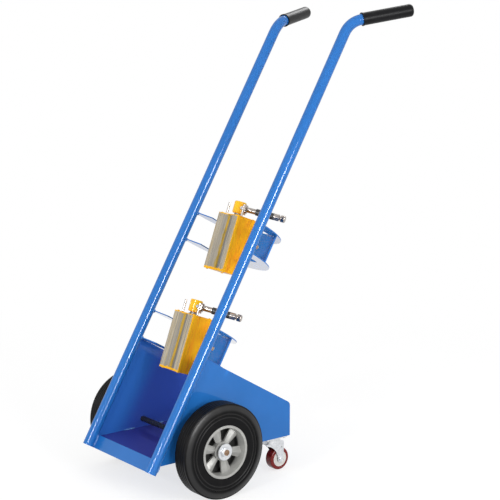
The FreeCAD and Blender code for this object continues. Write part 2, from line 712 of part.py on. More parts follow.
def knob(level):
    """Round hub on the rotor's shaft, bored across for the lever."""
    half = "(knob_height / 2)"
    body = turned_body(level + "_drum_knob", [
        (0, f"-{half}"), ("knob_radius - knob_chamfer", f"-{half}"),
        ("knob_radius", f"knob_chamfer - {half}"), ("knob_radius", f"{half} - knob_chamfer"),
        ("knob_radius - knob_chamfer", half), (0, half)])
    place(body, lever_frame(level))
    bore = cylinder(level + "_knob_bore", "lever_radius + running_gap", "2 * knob_radius")
    place(bore, lever_frame(level), at("-lever_inner", 0, 0), turned(ABOUT_Y, 90))
    return keep(cut(level + "_bored_knob", body, bore), level + "_knob")


def lever(level):
    """Rod that slides in the knob, its sleeve, and the key plate fixed to the rod."""
    inner = "(free_gap - lever_inner)"
    sleeve_end = "(lever_grip_start + lever_grip_length)"
    collar_end = f"({sleeve_end} + lever_collar)"
    tip = "(lever_reach - lever_tip)"
    neck = "(lever_radius - lever_neck_depth)"
    shoulder = "(lever_tip_radius - lever_tip_rounding)"
    frame = f"{lever_frame(level)} * {turned(ABOUT_Y, 90)}"
    rod = turned_body(level + "_rod", [
        (0, inner), ("lever_radius", inner), ("lever_radius", sleeve_end),
        ("lever_grip_radius", sleeve_end), ("lever_grip_radius", collar_end),
        ("lever_radius", collar_end), ("lever_radius", f"{tip} - lever_neck"),
        (neck, f"{tip} - lever_neck"), (neck, tip), (shoulder, tip),
        ("lever_tip_radius", f"{tip} + lever_tip_rounding"),
        ("lever_tip_radius", "lever_reach - lever_tip_rounding"),
        (shoulder, "lever_reach"), (0, "lever_reach")],
        {9: ("lever_tip_rounding", True), 11: ("lever_tip_rounding", True)})
    keep(place(rod, frame), level + "_lever_rod")
    sleeve = turned_body(level + "_sleeve", ring(
        "lever_radius", "lever_grip_radius", "lever_grip_start", sleeve_end))
    keep(place(sleeve, frame), level + "_lever_grip")
    key = plate(level + "_key_plate", "YZ_Plane", "key_thickness",
                *rounded_rectangle("key_width / 2", "key_height / 2", "key_corner"),
                circles=[(0, 0, "lever_radius")])
    place(key, lever_frame(level), at("key_start + key_thickness / 2", 0, 0))
    keep(key, level + "_lever_key")


def magnets():
    for level in LEVELS:
        for side, sign in SIDES:
            pole(level, side, sign)
        spacer_strips(level)
        end_plates(level)
        lug(level)
        stop_pins(level)
        rotor(level)
        knob(level)
        lever(level)


# Main wheels, each in a frame whose z axis runs outwards along the axle

WHEEL_X = "(rail_x + sheet_thickness + wheel_gap + tyre_width / 2)"
RIM_SEAT = "(rim_radius - rim_flange)"


def wheel_frame(sign):
    return f"{AXLE} * {at(f'{sign} * {WHEEL_X}', 0, 0)} * {turned(ABOUT_Y, 90 * sign)}"


def tyre(side, sign):
    """Solid tyre seated between the rim's lips, with grooves round its tread."""
    bead = "(rim_width / 2 - rim_lip)"
    lip = "(rim_radius + free_gap)"
    wall = "(tyre_width / 2 - rib_height)"
    sidewall = [(RIM_SEAT, bead), (lip, bead), (lip, wall)]
    for rib in ("inner_rib", "outer_rib"):
        sidewall += [(f"{rib} - rib_width / 2", wall), (rib, "tyre_width / 2"),
                     (f"{rib} + rib_width / 2", wall)]
    sidewall += [("sidewall_radius", wall), ("sidewall_radius", "tyre_width / 2"),
                 ("wheel_radius", "tread_width / 2")]
    far_side = [(radius, f"-({z})") for radius, z in sidewall]
    tread = []
    pitch = "(tread_width / (groove_count + 1))"
    for number in range(int(size("groove_count"))):
        middle = f"({number + 1} * {pitch} - tread_width / 2)"
        tread += [("wheel_radius", f"{middle} - tread_groove"),
                  ("wheel_radius - tread_groove", middle),
                  ("wheel_radius", f"{middle} + tread_groove")]
    # Each shoulder is an arc from the tread's edge, tangent to the flat sidewall.
    rise = "((tyre_width - tread_width) / 2)"
    shoulder = f"(((wheel_radius - sidewall_radius)^2 + {rise}^2) / (2 * {rise}))"
    first = len(far_side) - 2
    last = len(far_side) + len(tread)
    body = turned_body(side + "_rubber", far_side + tread + sidewall[::-1],
                       {first: (shoulder, True), last: (shoulder, True)})
    return keep(place(body, wheel_frame(sign)), side + "_tyre")


def spoke_section(body, width, radius):
    """Section of a spoke at a radius: a flat back, two edges and a front that rises to a ridge."""
    sketch = new_sketch(body, "XZ_Plane")
    sketch.setExpression("AttachmentOffset.Base.z", bound(radius))
    half = f"({width} / 2)"
    edge = "(spoke_back + spoke_edge)"
    ridge = f"({edge} + spoke_crown)"
    draw(sketch, [(f"-{half}", "spoke_back"), (half, "spoke_back"), (half, edge),
                  ("spoke_ridge / 2", ridge), ("-spoke_ridge / 2", ridge), (f"-{half}", edge)])
    return sketch


def wheel_hub(side, sign):
    """Turned rim, boss and closed back, with ridged paddle spokes in front."""
    body = new_body(side + "_moulding")
    bead = "(rim_width / 2 - rim_lip)"
    inside = f"({RIM_SEAT} - rim_wall)"
    flared = f"({inside} + rim_flare)"
    rim = new_sketch(body, "XZ_Plane")
    draw(rim, [(inside, 0), (flared, "-rim_width / 2"), ("rim_radius", "-rim_width / 2"),
               ("rim_radius", f"-{bead}"), (RIM_SEAT, f"-{bead}"), (RIM_SEAT, bead),
               ("rim_radius", bead), ("rim_radius", "rim_width / 2"), (flared, "rim_width / 2")])
    revolve(body, rim)
    root = spoke_section(body, "spoke_root", "boss_radius - spoke_sink")
    tip = spoke_section(body, "spoke_tip", f"{RIM_SEAT} - rim_wall / 2")
    spoke = body.newObject("PartDesign::AdditiveLoft", side + "_spoke")
    spoke.Profile = root
    spoke.Sections = [tip]
    spoke.Ruled = True
    pattern = body.newObject("PartDesign::PolarPattern", side + "_spokes")
    pattern.Originals = [spoke]
    pattern.Axis = (rim, ["V_Axis"])
    pattern.Angle = 360
    pattern.setExpression("Occurrences", bound("spoke_count"))
    body.Tip = pattern
    boss = new_sketch(body, "XZ_Plane")
    tunnel = "(axle_radius + boss_tunnel)"
    draw(boss, [("bearing_radius", "-boss_inner"), ("boss_radius", "-boss_inner"),
                ("boss_radius", "boss_outer"), ("bearing_radius", "boss_outer"),
                ("bearing_radius", "boss_outer - bearing_length"),
                (tunnel, "boss_outer - bearing_length"), (tunnel, "bearing_length - boss_inner"),
                ("bearing_radius", "bearing_length - boss_inner")])
    revolve(body, boss)
    back = new_sketch(body, "XZ_Plane")
    back_low = "(hub_back_inset - rim_width / 2)"
    draw(back, ring("boss_radius - spoke_sink", f"{RIM_SEAT} - rim_wall / 4", back_low,
                    f"{back_low} + hub_back"))
    revolve(body, back)
    place(body, wheel_frame(sign), turned(ABOUT_Z, "spoke_turn"))
    return keep(body, side + "_wheel_hub")


def wheel_bearings(side, sign):
    """A bearing pressed into each end of the boss; its inner ring stands out."""
    bore = "(axle_radius + running_gap)"
    outer = turned_body(side + "_outer_bearing", [
        (bore, "boss_outer - bearing_length"), ("bearing_radius", "boss_outer - bearing_length"),
        ("bearing_radius", "boss_outer"), ("bearing_lip_radius", "boss_outer"),
        ("bearing_lip_radius", "boss_outer + bearing_lip_outer"),
        (bore, "boss_outer + bearing_lip_outer")])
    inner = turned_body(side + "_inner_bearing", [
        (bore, "-boss_inner - bearing_lip_inner"),
        ("bearing_lip_radius", "-boss_inner - bearing_lip_inner"),
        ("bearing_lip_radius", "-boss_inner"), ("bearing_radius", "-boss_inner"),
        ("bearing_radius", "bearing_length - boss_inner"), (bore, "bearing_length - boss_inner")])
    members = [place(outer, wheel_frame(sign)), place(inner, wheel_frame(sign))]
    return keep(group(side + "_bearing_pair", members), side + "_wheel_bearings")


def axle_set():
    """Axle through the box, with a spacer, a washer and a nut on each side."""
    washer_start = "(boss_outer + bearing_lip_outer + free_gap)"
    nut_start = f"({washer_start} + washer_thickness)"
    half = f"({WHEEL_X} + {nut_start} + nut_height + axle_end)"
    rod = cylinder("axle_rod", "axle_radius", f"2 * {half}")
    keep(place(rod, AXLE, at(f"-{half}", 0, 0), turned(ABOUT_Y, 90)), "axle")
    spacers = []
    washers = []
    nuts = []
    spacer_low = "(-wheel_gap - tyre_width / 2)"
    spacer_high = "(-boss_inner - bearing_lip_inner - free_gap)"
    for side, sign in SIDES:
        frame = wheel_frame(sign)
        spacer = turned_body(side + "_spacer",
                             ring("axle_radius", "spacer_radius", spacer_low, spacer_high))
        spacers.append(place(spacer, frame))
        washer = turned_body(side + "_washer", ring(
            "axle_radius", "washer_radius", washer_start, nut_start))
        washers.append(place(washer, frame))
        nut = plate(side + "_nut", "XY_Plane", "nut_height", hexagon("nut_flats"),
                    circles=[(0, 0, "axle_radius")])
        nuts.append(place(nut, frame, at(0, 0, f"{nut_start} + nut_height / 2")))
    keep(group("spacers", spacers), "axle_spacers")
    keep(group("washers", washers), "axle_washers")
    keep(group("nuts", nuts), "axle_nuts")


def main_wheels():
    for side, sign in SIDES:
        tyre(side, sign)
        wheel_hub(side, sign)
        wheel_bearings(side, sign)
    axle_set()


# Casters, each in a frame on the floor under its kingpin

RACE_TOP = "(box_bottom - caster_plate)"
FORK_TOP = "(box_bottom - caster_plate - race_height - free_gap)"
FORK_HALF = "(caster_tread / 2 + fork_gap + fork_wall)"


def caster_frame(sign):
    return f"{GROUND} * {at(f'{sign} * (rail_x - caster_side)', 'box_back - caster_back', 0)}"


def caster_mounts():
    """Fixed top plates with the upper half of the swivel race, kingpins and bolts."""
    plates = []
    kingpins = []
    bolts = []
    for side, sign in SIDES:
        frame = caster_frame(sign)
        top = plate(side + "_caster_top", "XY_Plane", "caster_plate", *rounded_rectangle(
            "caster_plate_x / 2", "caster_plate_y / 2", "caster_corner"))
        place(top, frame, at(0, 0, f"{RACE_TOP} + caster_plate / 2"))
        race = turned_body(side + "_caster_race", ring(
            "kingpin_radius", "race_radius", f"{RACE_TOP} - race_height", RACE_TOP))
        place(race, frame)
        plates.append(fuse(side + "_caster_mount", top, race))
        pin_low = f"({FORK_TOP} - fork_race)"
        kingpin = turned_body(side + "_kingpin", [
            (0, f"{pin_low} - fork_wall - free_gap"),
            ("kingpin_head", f"{pin_low} - fork_wall - free_gap"),
            ("kingpin_head", f"{pin_low} - free_gap"), ("kingpin_radius", f"{pin_low} - free_gap"),
            ("kingpin_radius", RACE_TOP), (0, RACE_TOP)])
        kingpins.append(place(kingpin, frame))
        for across in (-1, 1):
            for along in (-1, 1):
                head = plate(f"{side}_bolt_{across + 1}_{along + 1}", "XY_Plane",
                             "caster_bolt", hexagon("2 * caster_bolt"))
                bolts.append(place(head, frame, at(
                    f"{across} * caster_bolt_x", f"{along} * caster_bolt_y",
                    f"{RACE_TOP} - caster_bolt / 2")))
    keep(group("caster_tops", plates), "caster_plates")
    keep(group("kingpin_pair", kingpins), "caster_kingpins")
    keep(group("caster_bolt_heads", bolts), "caster_bolts")


def caster_fork(side, sign):
    """Pressed fork: a turned race on top and two legs that sweep back to the axle."""
    bottom = f"({FORK_TOP} - fork_race)"
    crown = f"({bottom} + fork_wall)"
    foot = "(caster_nut + fork_wall)"
    legs = plate(side + "_legs", "YZ_Plane", f"2 * {FORK_HALF}", [
        ("-race_radius", crown), ("-race_radius", f"{crown} - fork_lip"),
        (f"caster_trail - {foot}", "caster_wheel"), ("caster_trail", f"caster_wheel - {foot}"),
        (f"caster_trail + {foot}", "caster_wheel"), ("race_radius + fork_back", crown)],
        {1: ("fork_scoop", False), 2: (foot, True), 3: (foot, True)},
        circles=[("caster_trail", "caster_wheel", "caster_axle"),
                 ("fork_hole_y", "fork_hole_z", "fork_hole")])
    place(legs, caster_frame(sign))
    room_reach = "(race_radius + fork_back + caster_trail)"
    room = block(side + "_wheel_room", f"2 * ({FORK_HALF} - fork_wall)", f"2 * {room_reach}", bottom)
    place(room, caster_frame(sign), at(f"fork_wall - {FORK_HALF}", f"-{room_reach}", 0))
    race = turned_body(side + "_fork_race", ring(
        0, "race_radius", bottom, FORK_TOP))
    place(race, caster_frame(sign))
    shell = fuse(side + "_fork_shell", cut(side + "_fork_legs", legs, room), race)
    hole = cylinder(side + "_fork_hole", "kingpin_radius + running_gap", "box_bottom")
    place(hole, caster_frame(sign))
    return keep(cut(side + "_bored_fork", shell, hole), side + "_caster_fork")


def caster_axle(side, sign):
    """Bolt through the fork and the wheel, with a round head and a nut."""
    end = f"({FORK_HALF} + caster_axle)"
    body = turned_body(side + "_caster_bolt", [
        (0, f"-{end}"), ("caster_nut", f"-{end}"), ("caster_nut", f"-{FORK_HALF}"),
        ("caster_axle", f"-{FORK_HALF}"), ("caster_axle", FORK_HALF),
        ("caster_nut", FORK_HALF), ("caster_nut", end), (0, end)])
    place(body, caster_frame(sign), at(0, "caster_trail", "caster_wheel"), turned(ABOUT_Y, 90))
    return keep(body, side + "_caster_axle")


def caster_wheel(side, sign):
    """Moulded core on the axle, with a rounded tread bonded round it."""
    half = "(caster_tread / 2)"
    frame = [caster_frame(sign), at(0, "caster_trail", "caster_wheel"), turned(ABOUT_Y, 90)]
    core = turned_body(side + "_core", ring(
        "caster_axle + running_gap", "caster_core", f"-{half}", half))
    keep(place(core, *frame), side + "_caster_core")
    tread = turned_body(side + "_tread", [
        ("caster_core", f"-{half}"), ("caster_wheel - caster_rounding", f"-{half}"),
        ("caster_wheel", f"caster_rounding - {half}"), ("caster_wheel", f"{half} - caster_rounding"),
        ("caster_wheel - caster_rounding", half), ("caster_core", half)],
        {1: ("caster_rounding", True), 3: ("caster_rounding", True)})
    keep(place(tread, *frame), side + "_caster_tread")


def casters():
    caster_mounts()
    for side, sign in SIDES:
        caster_fork(side, sign)
        caster_axle(side, sign)
        caster_wheel(side, sign)


def frame_pieces():
    for side, sign in SIDES:
        rail(side, sign)
        grip(side, sign)
    rods = rail_envelopes()
    for side, sign in SIDES:
        side_plate(side, sign, rods)
    box_panels(rods)
    brackets()
    pivots()


frame_pieces()
magnets()
main_wheels()
casters()
doc.recompute()

faults = [item.Name for item in doc.Objects if {"Invalid", "Error"} & set(item.State)]
faults += [item.Label for item in pieces if item.Shape.isNull() or not item.Shape.isValid()]
if faults:
    raise RuntimeError("not built: " + ", ".join(faults))

os.makedirs("parts", exist_ok=True)
whole = FreeCAD.BoundBox()
for item in pieces:
    item.Shape.exportStep(os.path.join("parts", item.Label + ".step"))
    whole.add(item.Shape.optimalBoundingBox(True, False))
print(len(pieces), "pieces,", "box", [round(value, 2) for value in (
    whole.XMin, whole.XMax, whole.YMin, whole.YMax, whole.ZMin, whole.ZMax)])
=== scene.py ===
"""Looks of the cylinder hand truck: materials, welds, fasteners, studio and camera.

Metres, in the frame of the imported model: +Z up, +Y to the back, +X to the levers' side.
"""
import json
from math import atan2, cos, pi, radians, sin, sqrt, tan

import bmesh
import bpy
from mathutils import Matrix, Vector


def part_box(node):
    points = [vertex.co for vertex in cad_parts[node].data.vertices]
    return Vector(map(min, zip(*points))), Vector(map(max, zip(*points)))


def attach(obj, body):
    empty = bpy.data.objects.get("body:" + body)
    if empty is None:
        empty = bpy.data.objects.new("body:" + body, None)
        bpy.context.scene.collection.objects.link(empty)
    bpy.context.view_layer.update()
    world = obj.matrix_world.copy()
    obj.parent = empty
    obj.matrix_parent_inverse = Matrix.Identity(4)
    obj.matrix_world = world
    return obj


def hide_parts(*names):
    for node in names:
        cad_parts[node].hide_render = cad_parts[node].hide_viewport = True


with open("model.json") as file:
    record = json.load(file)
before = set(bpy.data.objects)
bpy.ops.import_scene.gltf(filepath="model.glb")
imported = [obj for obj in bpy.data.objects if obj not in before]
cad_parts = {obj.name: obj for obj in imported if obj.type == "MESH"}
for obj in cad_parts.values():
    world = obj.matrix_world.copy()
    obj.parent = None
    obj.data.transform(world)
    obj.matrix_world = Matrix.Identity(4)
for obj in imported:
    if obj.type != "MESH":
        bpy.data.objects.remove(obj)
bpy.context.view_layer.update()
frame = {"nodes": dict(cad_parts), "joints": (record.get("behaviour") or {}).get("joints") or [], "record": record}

NODES = frame["nodes"]
JOINTS = {joint["name"]: joint for joint in frame["joints"]}
SLOTS = {row["node"]: row["material_slot"] for row in frame["record"]["subparts"]}
SIDES = (("left", -1), ("right", 1))
SIGNS = (-1, 1)
LEVELS = ("lower", "upper")

# Sizes of the solids that the details sit on
LEAN = radians(30.34)
RAIL_X = 0.1534
RAIL_RADIUS = 0.015
RAIL_FORWARD = 0.1346
RAIL_FOOT = 0.1278
SHEET = 0.004
KICK_HEIGHT = 0.037
FLOOR_TOP = 0.104
BOX_TOP = 0.1995
PLATE_MIDDLES = (0.201, 0.283, 0.505, 0.587)
PLATE_HALF = 0.0015
BRACKETS = {"lower": 0.242, "upper": 0.546}
WEB_FRONT = -0.043
WEB_BACK = -0.038
WEB_HALF_HEIGHT = 0.0395
EAR_FACE = 0.015
EAR_RADIUS = 0.014
POLE_FACE = -0.0908
MAGNET_BACK = -0.0208
MAGNET_MIDDLES = {"lower": -0.0028, "upper": -0.0083}
MAGNET_HALF_LENGTH = 0.080
MAGNET_HALF = 0.044
KNOB_RADIUS = 0.017
KNOB_HALF = 0.017
KNOB_GAP = 0.007
KEY_FACES = (0.0176, 0.0211)
LEVER_RADIUS = 0.0075
WHEEL_X = 0.2075
AXLE_RADIUS = 0.00794
NUT_START = 0.2324
NUT_FLATS = 0.024
NUT_HEIGHT = 0.0065
FORK_HALF = 0.017
FORK_CROWN = 0.0796
CASTER_X = 0.126
CASTER_AXLE = 0.004
CASTER_BOLTS = (0.022, 0.030)


def joint_place(name):
    return Vector(JOINTS[name]["pos_m"])


def joint_axis(name):
    return Vector(JOINTS[name]["axis"])


def axes(origin, x_axis, y_axis, z_axis):
    """Frame with the given axes, as a matrix."""
    matrix = Matrix((x_axis, y_axis, z_axis)).transposed().to_4x4()
    matrix.translation = origin
    return matrix


AXLE = Vector((0, *joint_place("left_wheel_spin")[1:]))
# Rail frame: x across, y square to the rails and backwards, z up along the rails
RAIL = Matrix.Translation(AXLE) @ Matrix.Rotation(-LEAN, 4, "X")
MAGNET_UP = joint_axis("upper_lever_turn")
MAGNET_TILT = atan2(MAGNET_UP.y, MAGNET_UP.z)
MAGNET_REAR = Vector((0, cos(MAGNET_TILT), -sin(MAGNET_TILT)))


def magnet_frame(level):
    """Frame of one magnet: its pivot, y to its back, z up along it."""
    pivot = joint_place(level + "_magnet_tilt")
    return Matrix.Translation(pivot) @ Matrix.Rotation(-MAGNET_TILT, 4, "X")


def lever_frame(level):
    """Frame of one lever: the knob's middle, x along the lever, z up along the rotor."""
    along = joint_axis(level + "_lever_pull")
    return axes(joint_place(level + "_lever_turn"), along, MAGNET_UP.cross(along), MAGNET_UP)


# Materials

# Share of a near mask's reach where it is full
NEAR_SHARE = 0.6


class Graph:
    """Node tree of one material, with short calls for the nodes used here."""

    def __init__(self, name, **sockets):
        self.material = bpy.data.materials.new(name)
        self.material.use_nodes = True
        self.tree = self.material.node_tree
        self.bsdf = self.tree.nodes["Principled BSDF"]
        self.coords = self.tree.nodes.new("ShaderNodeTexCoord")
        self.place = self.coords.outputs["Object"]
        for socket, value in sockets.items():
            self.put(self.bsdf.inputs[socket.replace("_", " ")], value)

    def put(self, socket, value):
        if isinstance(value, bpy.types.NodeSocket):
            self.tree.links.new(value, socket)
        else:
            socket.default_value = value

    def drive(self, socket, value):
        self.put(self.bsdf.inputs[socket], value)

    def node(self, kind, inputs, **settings):
        node = self.tree.nodes.new("ShaderNode" + kind)
        for key, value in settings.items():
            setattr(node, key, value)
        for key, value in inputs.items():
            self.put(node.inputs[key], value)
        return node

    def noise(self, scale, detail=3.0, roughness=0.5, vector=None):
        inputs = {"Vector": vector or self.place, "Scale": scale, "Detail": detail,
                  "Roughness": roughness}
        return self.node("TexNoise", inputs).outputs["Fac"]

    def stretched(self, scales, turn=0.0):
        """Coordinates turned about X into a part's own frame, then scaled."""
        turned = self.node("VectorRotate", {"Vector": self.place, "Angle": turn},
                           rotation_type="X_AXIS").outputs["Vector"]
        return self.node("VectorMath", {0: turned, 1: scales}, operation="MULTIPLY").outputs[0]

    def along(self, axis, origin=(0, 0, 0)):
        """Distance of a point along an axis from an origin."""
        offset = self.node("VectorMath", {0: self.place, 1: tuple(origin)}, operation="SUBTRACT")
        return self.node("VectorMath", {0: offset.outputs[0], 1: tuple(axis)},
                         operation="DOT_PRODUCT").outputs["Value"]

    def facing(self, axis):
        """How far a face looks along an axis, from -1 to 1."""
        return self.node("VectorMath", {0: self.coords.outputs["Normal"], 1: tuple(axis)},
                         operation="DOT_PRODUCT").outputs["Value"]

    def math(self, operation, first, second=0.0):
        return self.node("Math", {0: first, 1: second}, operation=operation).outputs[0]

    def ramp(self, value, low, high, start=0.0, end=1.0):
        """Value mapped smoothly from low..high to start..end."""
        inputs = {"Value": value, "From Min": low, "From Max": high, "To Min": start, "To Max": end}
        return self.node("MapRange", inputs, interpolation_type="SMOOTHSTEP").outputs["Result"]

    def mix(self, share, first, second):
        inputs = {"Factor": share, 6: first, 7: second}
        return self.node("Mix", inputs, data_type="RGBA").outputs[2]

    def bump(self, height, distance, strength=1.0):
        inputs = {"Height": height, "Distance": distance, "Strength": strength}
        return self.node("Bump", inputs).outputs["Normal"]

    def from_axle(self):
        """Distance from the main axle's line."""
        offset = self.node("VectorMath", {0: self.place, 1: tuple(AXLE)}, operation="SUBTRACT")
        flat = self.node("VectorMath", {0: offset.outputs[0], 1: (0, 1, 1)}, operation="MULTIPLY")
        return self.node("VectorMath", {0: flat.outputs[0]}, operation="LENGTH").outputs["Value"]

    def near(self, value, middle, reach):
        """1 around the middle, and 0 beyond its reach."""
        away = self.math("ABSOLUTE", self.math("SUBTRACT", value, middle))
        return self.ramp(away, NEAR_SHARE * reach, reach, 1.0, 0.0)

    def product(self, first, *others):
        """Several masks multiplied together."""
        for other in others:
            first = self.math("MULTIPLY", first, other)
        return first


def rgb(red, green, blue):
    return (red, green, blue, 1.0)


# Painted light inside the box: a pale blue near the rails
PAINTED_LIGHT_BLUE = rgb(0.040, 0.190, 0.640)
# Painted light on the webs
PAINTED_LIGHT_WEB_BLUE = rgb(0.024, 0.205, 0.640)
WEB_REACH = 0.0675
WEB_MIDDLE = RAIL_FORWARD + (WEB_FRONT + WEB_BACK) / 2
WEB_DEPTH_REACH = 0.006
# Places where the coat's painted light and painted shade change, each as the start and the end of a soft edge. The
# kick and shade edges are measured back from the rails' line, and the back edge from the back panel's inner face.
SIDE_EDGE = (RAIL_X + 0.0002, RAIL_X + 0.002)
TOP_EDGE = (BOX_TOP + 0.0002, BOX_TOP + 0.0008)
GLOSS_EDGE = (BOX_TOP + 0.001, BOX_TOP + 0.002)
FLOOR_EDGE = (FLOOR_TOP - 0.002, FLOOR_TOP - 0.0005)
KICK_EDGE = (0.0172, 0.0182)
PAINTED_SHADE_EDGE = (0.06, 0.12)
BACK_EDGE = (0.0005, 0.0015)


def blue_paint():
    """Gloss powder coat: blue with orange peel and a little cloudiness, with painted light and painted shade
    inside the box and painted light on the webs.
    """
    g = Graph("blue_powder_coat", IOR=1.36)
    cloud = g.noise(9.0, 4.0)
    outside = g.mix(g.ramp(cloud, 0.3, 0.7), rgb(0.016, 0.152, 0.490), rgb(0.022, 0.167, 0.530))
    across = g.math("ABSOLUTE", g.along((1, 0, 0)))
    depth = g.along(RAIL.col[1].xyz, RAIL @ Vector((0, -RAIL_FORWARD, 0)))
    height = g.along(RAIL.col[2].xyz, AXLE)
    # Painted light and shade inside the box: pale blue painted light near the rails, and deeper, more violet
    # painted shade further back and on the floor.
    inner_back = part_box("back_panel")[0].y
    inside = g.product(
        g.ramp(across, *SIDE_EDGE, 1.0, 0.0), g.ramp(depth, *KICK_EDGE),
        g.ramp(height, *TOP_EDGE, 1.0, 0.0), g.ramp(g.along((0, 0, 1)), *FLOOR_EDGE),
        g.ramp(g.along((0, 1, 0)), *(inner_back + edge for edge in BACK_EDGE), 1.0, 0.0))
    upward = g.ramp(g.facing((0, 0, 1)), 0.5, 0.9)
    painted_shade = g.mix(upward, rgb(0.052, 0.120, 0.550), rgb(0.040, 0.048, 0.290))
    painted_box_light_and_shade = g.mix(g.math("MAXIMUM", g.ramp(depth, *PAINTED_SHADE_EDGE), upward), PAINTED_LIGHT_BLUE, painted_shade)
    # Painted light on the webs: they are painted as pale as the lit sides inside the box.
    webs = g.math("MAXIMUM", *(g.near(height, BRACKETS[level], WEB_REACH) for level in LEVELS))
    web = g.product(webs, g.near(depth, WEB_MIDDLE, WEB_DEPTH_REACH))
    g.drive("Base Color", g.mix(inside, g.mix(web, outside, PAINTED_LIGHT_WEB_BLUE), painted_box_light_and_shade))
    g.drive("Roughness", g.ramp(g.noise(60.0), 0.3, 0.7, 0.06, 0.10))
    # It has the most gloss under the bracket plates, but not under the box top.
    under = g.ramp(g.facing(-RAIL.col[2].xyz), 0.9, 0.97)
    g.drive("Coat Weight", g.product(under, g.ramp(height, *GLOSS_EDGE)))
    g.drive("Normal", g.bump(g.noise(420.0, 2.0), 0.00001, 0.05))
    return g.material


def weld_paint():
    """The same coat on a weld: patchy, with paler patches as painted highlight for glints."""
    g = Graph("weld_coat", IOR=1.5)
    painted_glints = g.ramp(g.noise(700.0, 3.0), 0.4, 0.65)
    # The paler patches are painted highlight, standing in for glints on the beads.
    g.drive("Base Color", g.mix(painted_glints, rgb(0.050, 0.200, 0.530), rgb(0.260, 0.440, 0.770)))
    g.drive("Roughness", g.ramp(painted_glints, 0.0, 1.0, 0.12, 0.22))
    return g.material


def black_grip():
    """Dipped vinyl: satin black with fine pimples and faint scuffs."""
    g = Graph("black_vinyl", IOR=1.26)
    scuff = g.ramp(g.noise(35.0, 6.0, 0.65), 0.52, 0.75)
    g.drive("Base Color", g.mix(scuff, rgb(0.004, 0.004, 0.005), rgb(0.010, 0.010, 0.011)))
    g.drive("Roughness", g.ramp(scuff, 0.0, 1.0, 0.36, 0.52))
    g.drive("Normal", g.bump(g.noise(1400.0, 2.0), 0.00006, 0.5))
    return g.material


BARE_END = (NUT_START + NUT_HEIGHT - 0.001, NUT_START + NUT_HEIGHT + 0.0004)


def black_axle():
    """Black oxide rod, rusty brown where its cut ends are bare."""
    g = Graph("black_oxide", IOR=1.6)
    across = g.math("ABSOLUTE", g.along((1, 0, 0)))
    bare = g.ramp(across, *BARE_END)
    mottle = g.noise(160.0, 5.0, 0.65)
    coat = g.mix(mottle, rgb(0.014, 0.014, 0.016), rgb(0.040, 0.038, 0.038))
    rust = g.mix(mottle, rgb(0.16, 0.085, 0.045), rgb(0.34, 0.22, 0.14))
    g.drive("Base Color", g.mix(bare, coat, rust))
    g.drive("Metallic", g.ramp(bare, 0.0, 1.0, 0.25, 0.55))
    g.drive("Roughness", g.ramp(mottle, 0.3, 0.7, 0.2, 0.34))
    g.drive("Normal", g.bump(g.noise(700.0, 3.0), 0.00003, 0.5))
    return g.material


# Reach of the painted shade inside the caster forks
LEG_EDGE = (FORK_HALF - 0.0020, FORK_HALF - 0.0006)
CROWN_EDGE = (FORK_CROWN - 0.001, FORK_CROWN)


def zinc():
    """Bright zinc plate: bluish white metal with soft clouds and a fine grain, and painted shade between the fork
    legs.
    """
    g = Graph("zinc_plate", Metallic=1.0)
    cloud = g.noise(140.0, 5.0, 0.6)
    bright = g.mix(g.ramp(cloud, 0.3, 0.7), rgb(0.60, 0.62, 0.64), rgb(0.74, 0.75, 0.77))
    # Painted shade darkens the inner faces of the caster forks' legs.
    across = g.math("ABSOLUTE", g.along((1, 0, 0)))
    inside = g.math("ABSOLUTE", g.math("SUBTRACT", across, CASTER_X))
    painted_fork_shade = g.product(g.ramp(inside, *LEG_EDGE, 1.0, 0.0),
                     g.ramp(g.along((0, 0, 1)), *CROWN_EDGE, 1.0, 0.0))
    g.drive("Base Color", g.mix(painted_fork_shade, bright, rgb(0.02, 0.02, 0.02)))
    g.drive("Roughness", g.ramp(g.noise(320.0, 4.0), 0.25, 0.75, 0.24, 0.42))
    g.drive("Normal", g.bump(g.noise(900.0, 3.0), 0.00003, 0.5))
    return g.material


RIBS = (0.092, 0.101)
RIB_REACH = 0.0019
SHOULDER_START = (0.106, 0.114)
SHOULDER_END = (0.1215, 0.1245)
SHOULDER_GLOSS = 0.65


def tyre_rubber():
    """Moulded rubber: near black, dusty in patches, with painted highlights on its ribs and a fine grain."""
    g = Graph("tyre_rubber", IOR=1.20, Coat_Roughness=0.33)
    dust = g.ramp(g.noise(26.0, 6.0, 0.62), 0.45, 0.8)
    rubber = g.mix(dust, rgb(0.003, 0.003, 0.0035), rgb(0.009, 0.0085, 0.008))
    radius = g.from_axle()
    # The ribs are painted lighter: painted highlight where their edges catch the light.
    painted_rib_highlights = g.math("MAXIMUM", *(g.near(radius, rib, RIB_REACH) for rib in RIBS))
    g.drive("Base Color", g.mix(painted_rib_highlights, rubber, rgb(0.018, 0.018, 0.018)))
    # The shoulder is rubbed smooth; the tread and the sidewall are dull.
    g.drive("Coat Weight", g.product(g.ramp(radius, *SHOULDER_START, 0.0, SHOULDER_GLOSS),
                                     g.ramp(radius, *SHOULDER_END, 1.0, 0.0)))
    g.drive("Roughness", g.ramp(dust, 0.0, 1.0, 0.36, 0.48))
    g.drive("Normal", g.bump(g.noise(1100.0, 3.0, 0.6), 0.00008, 0.55))
    return g.material


# Depths, out from the wheel's middle, of the painted shade behind the spokes
RECESS_BACK = (-0.0190, -0.0175)
RECESS_FRONT = (-0.006, 0.003)


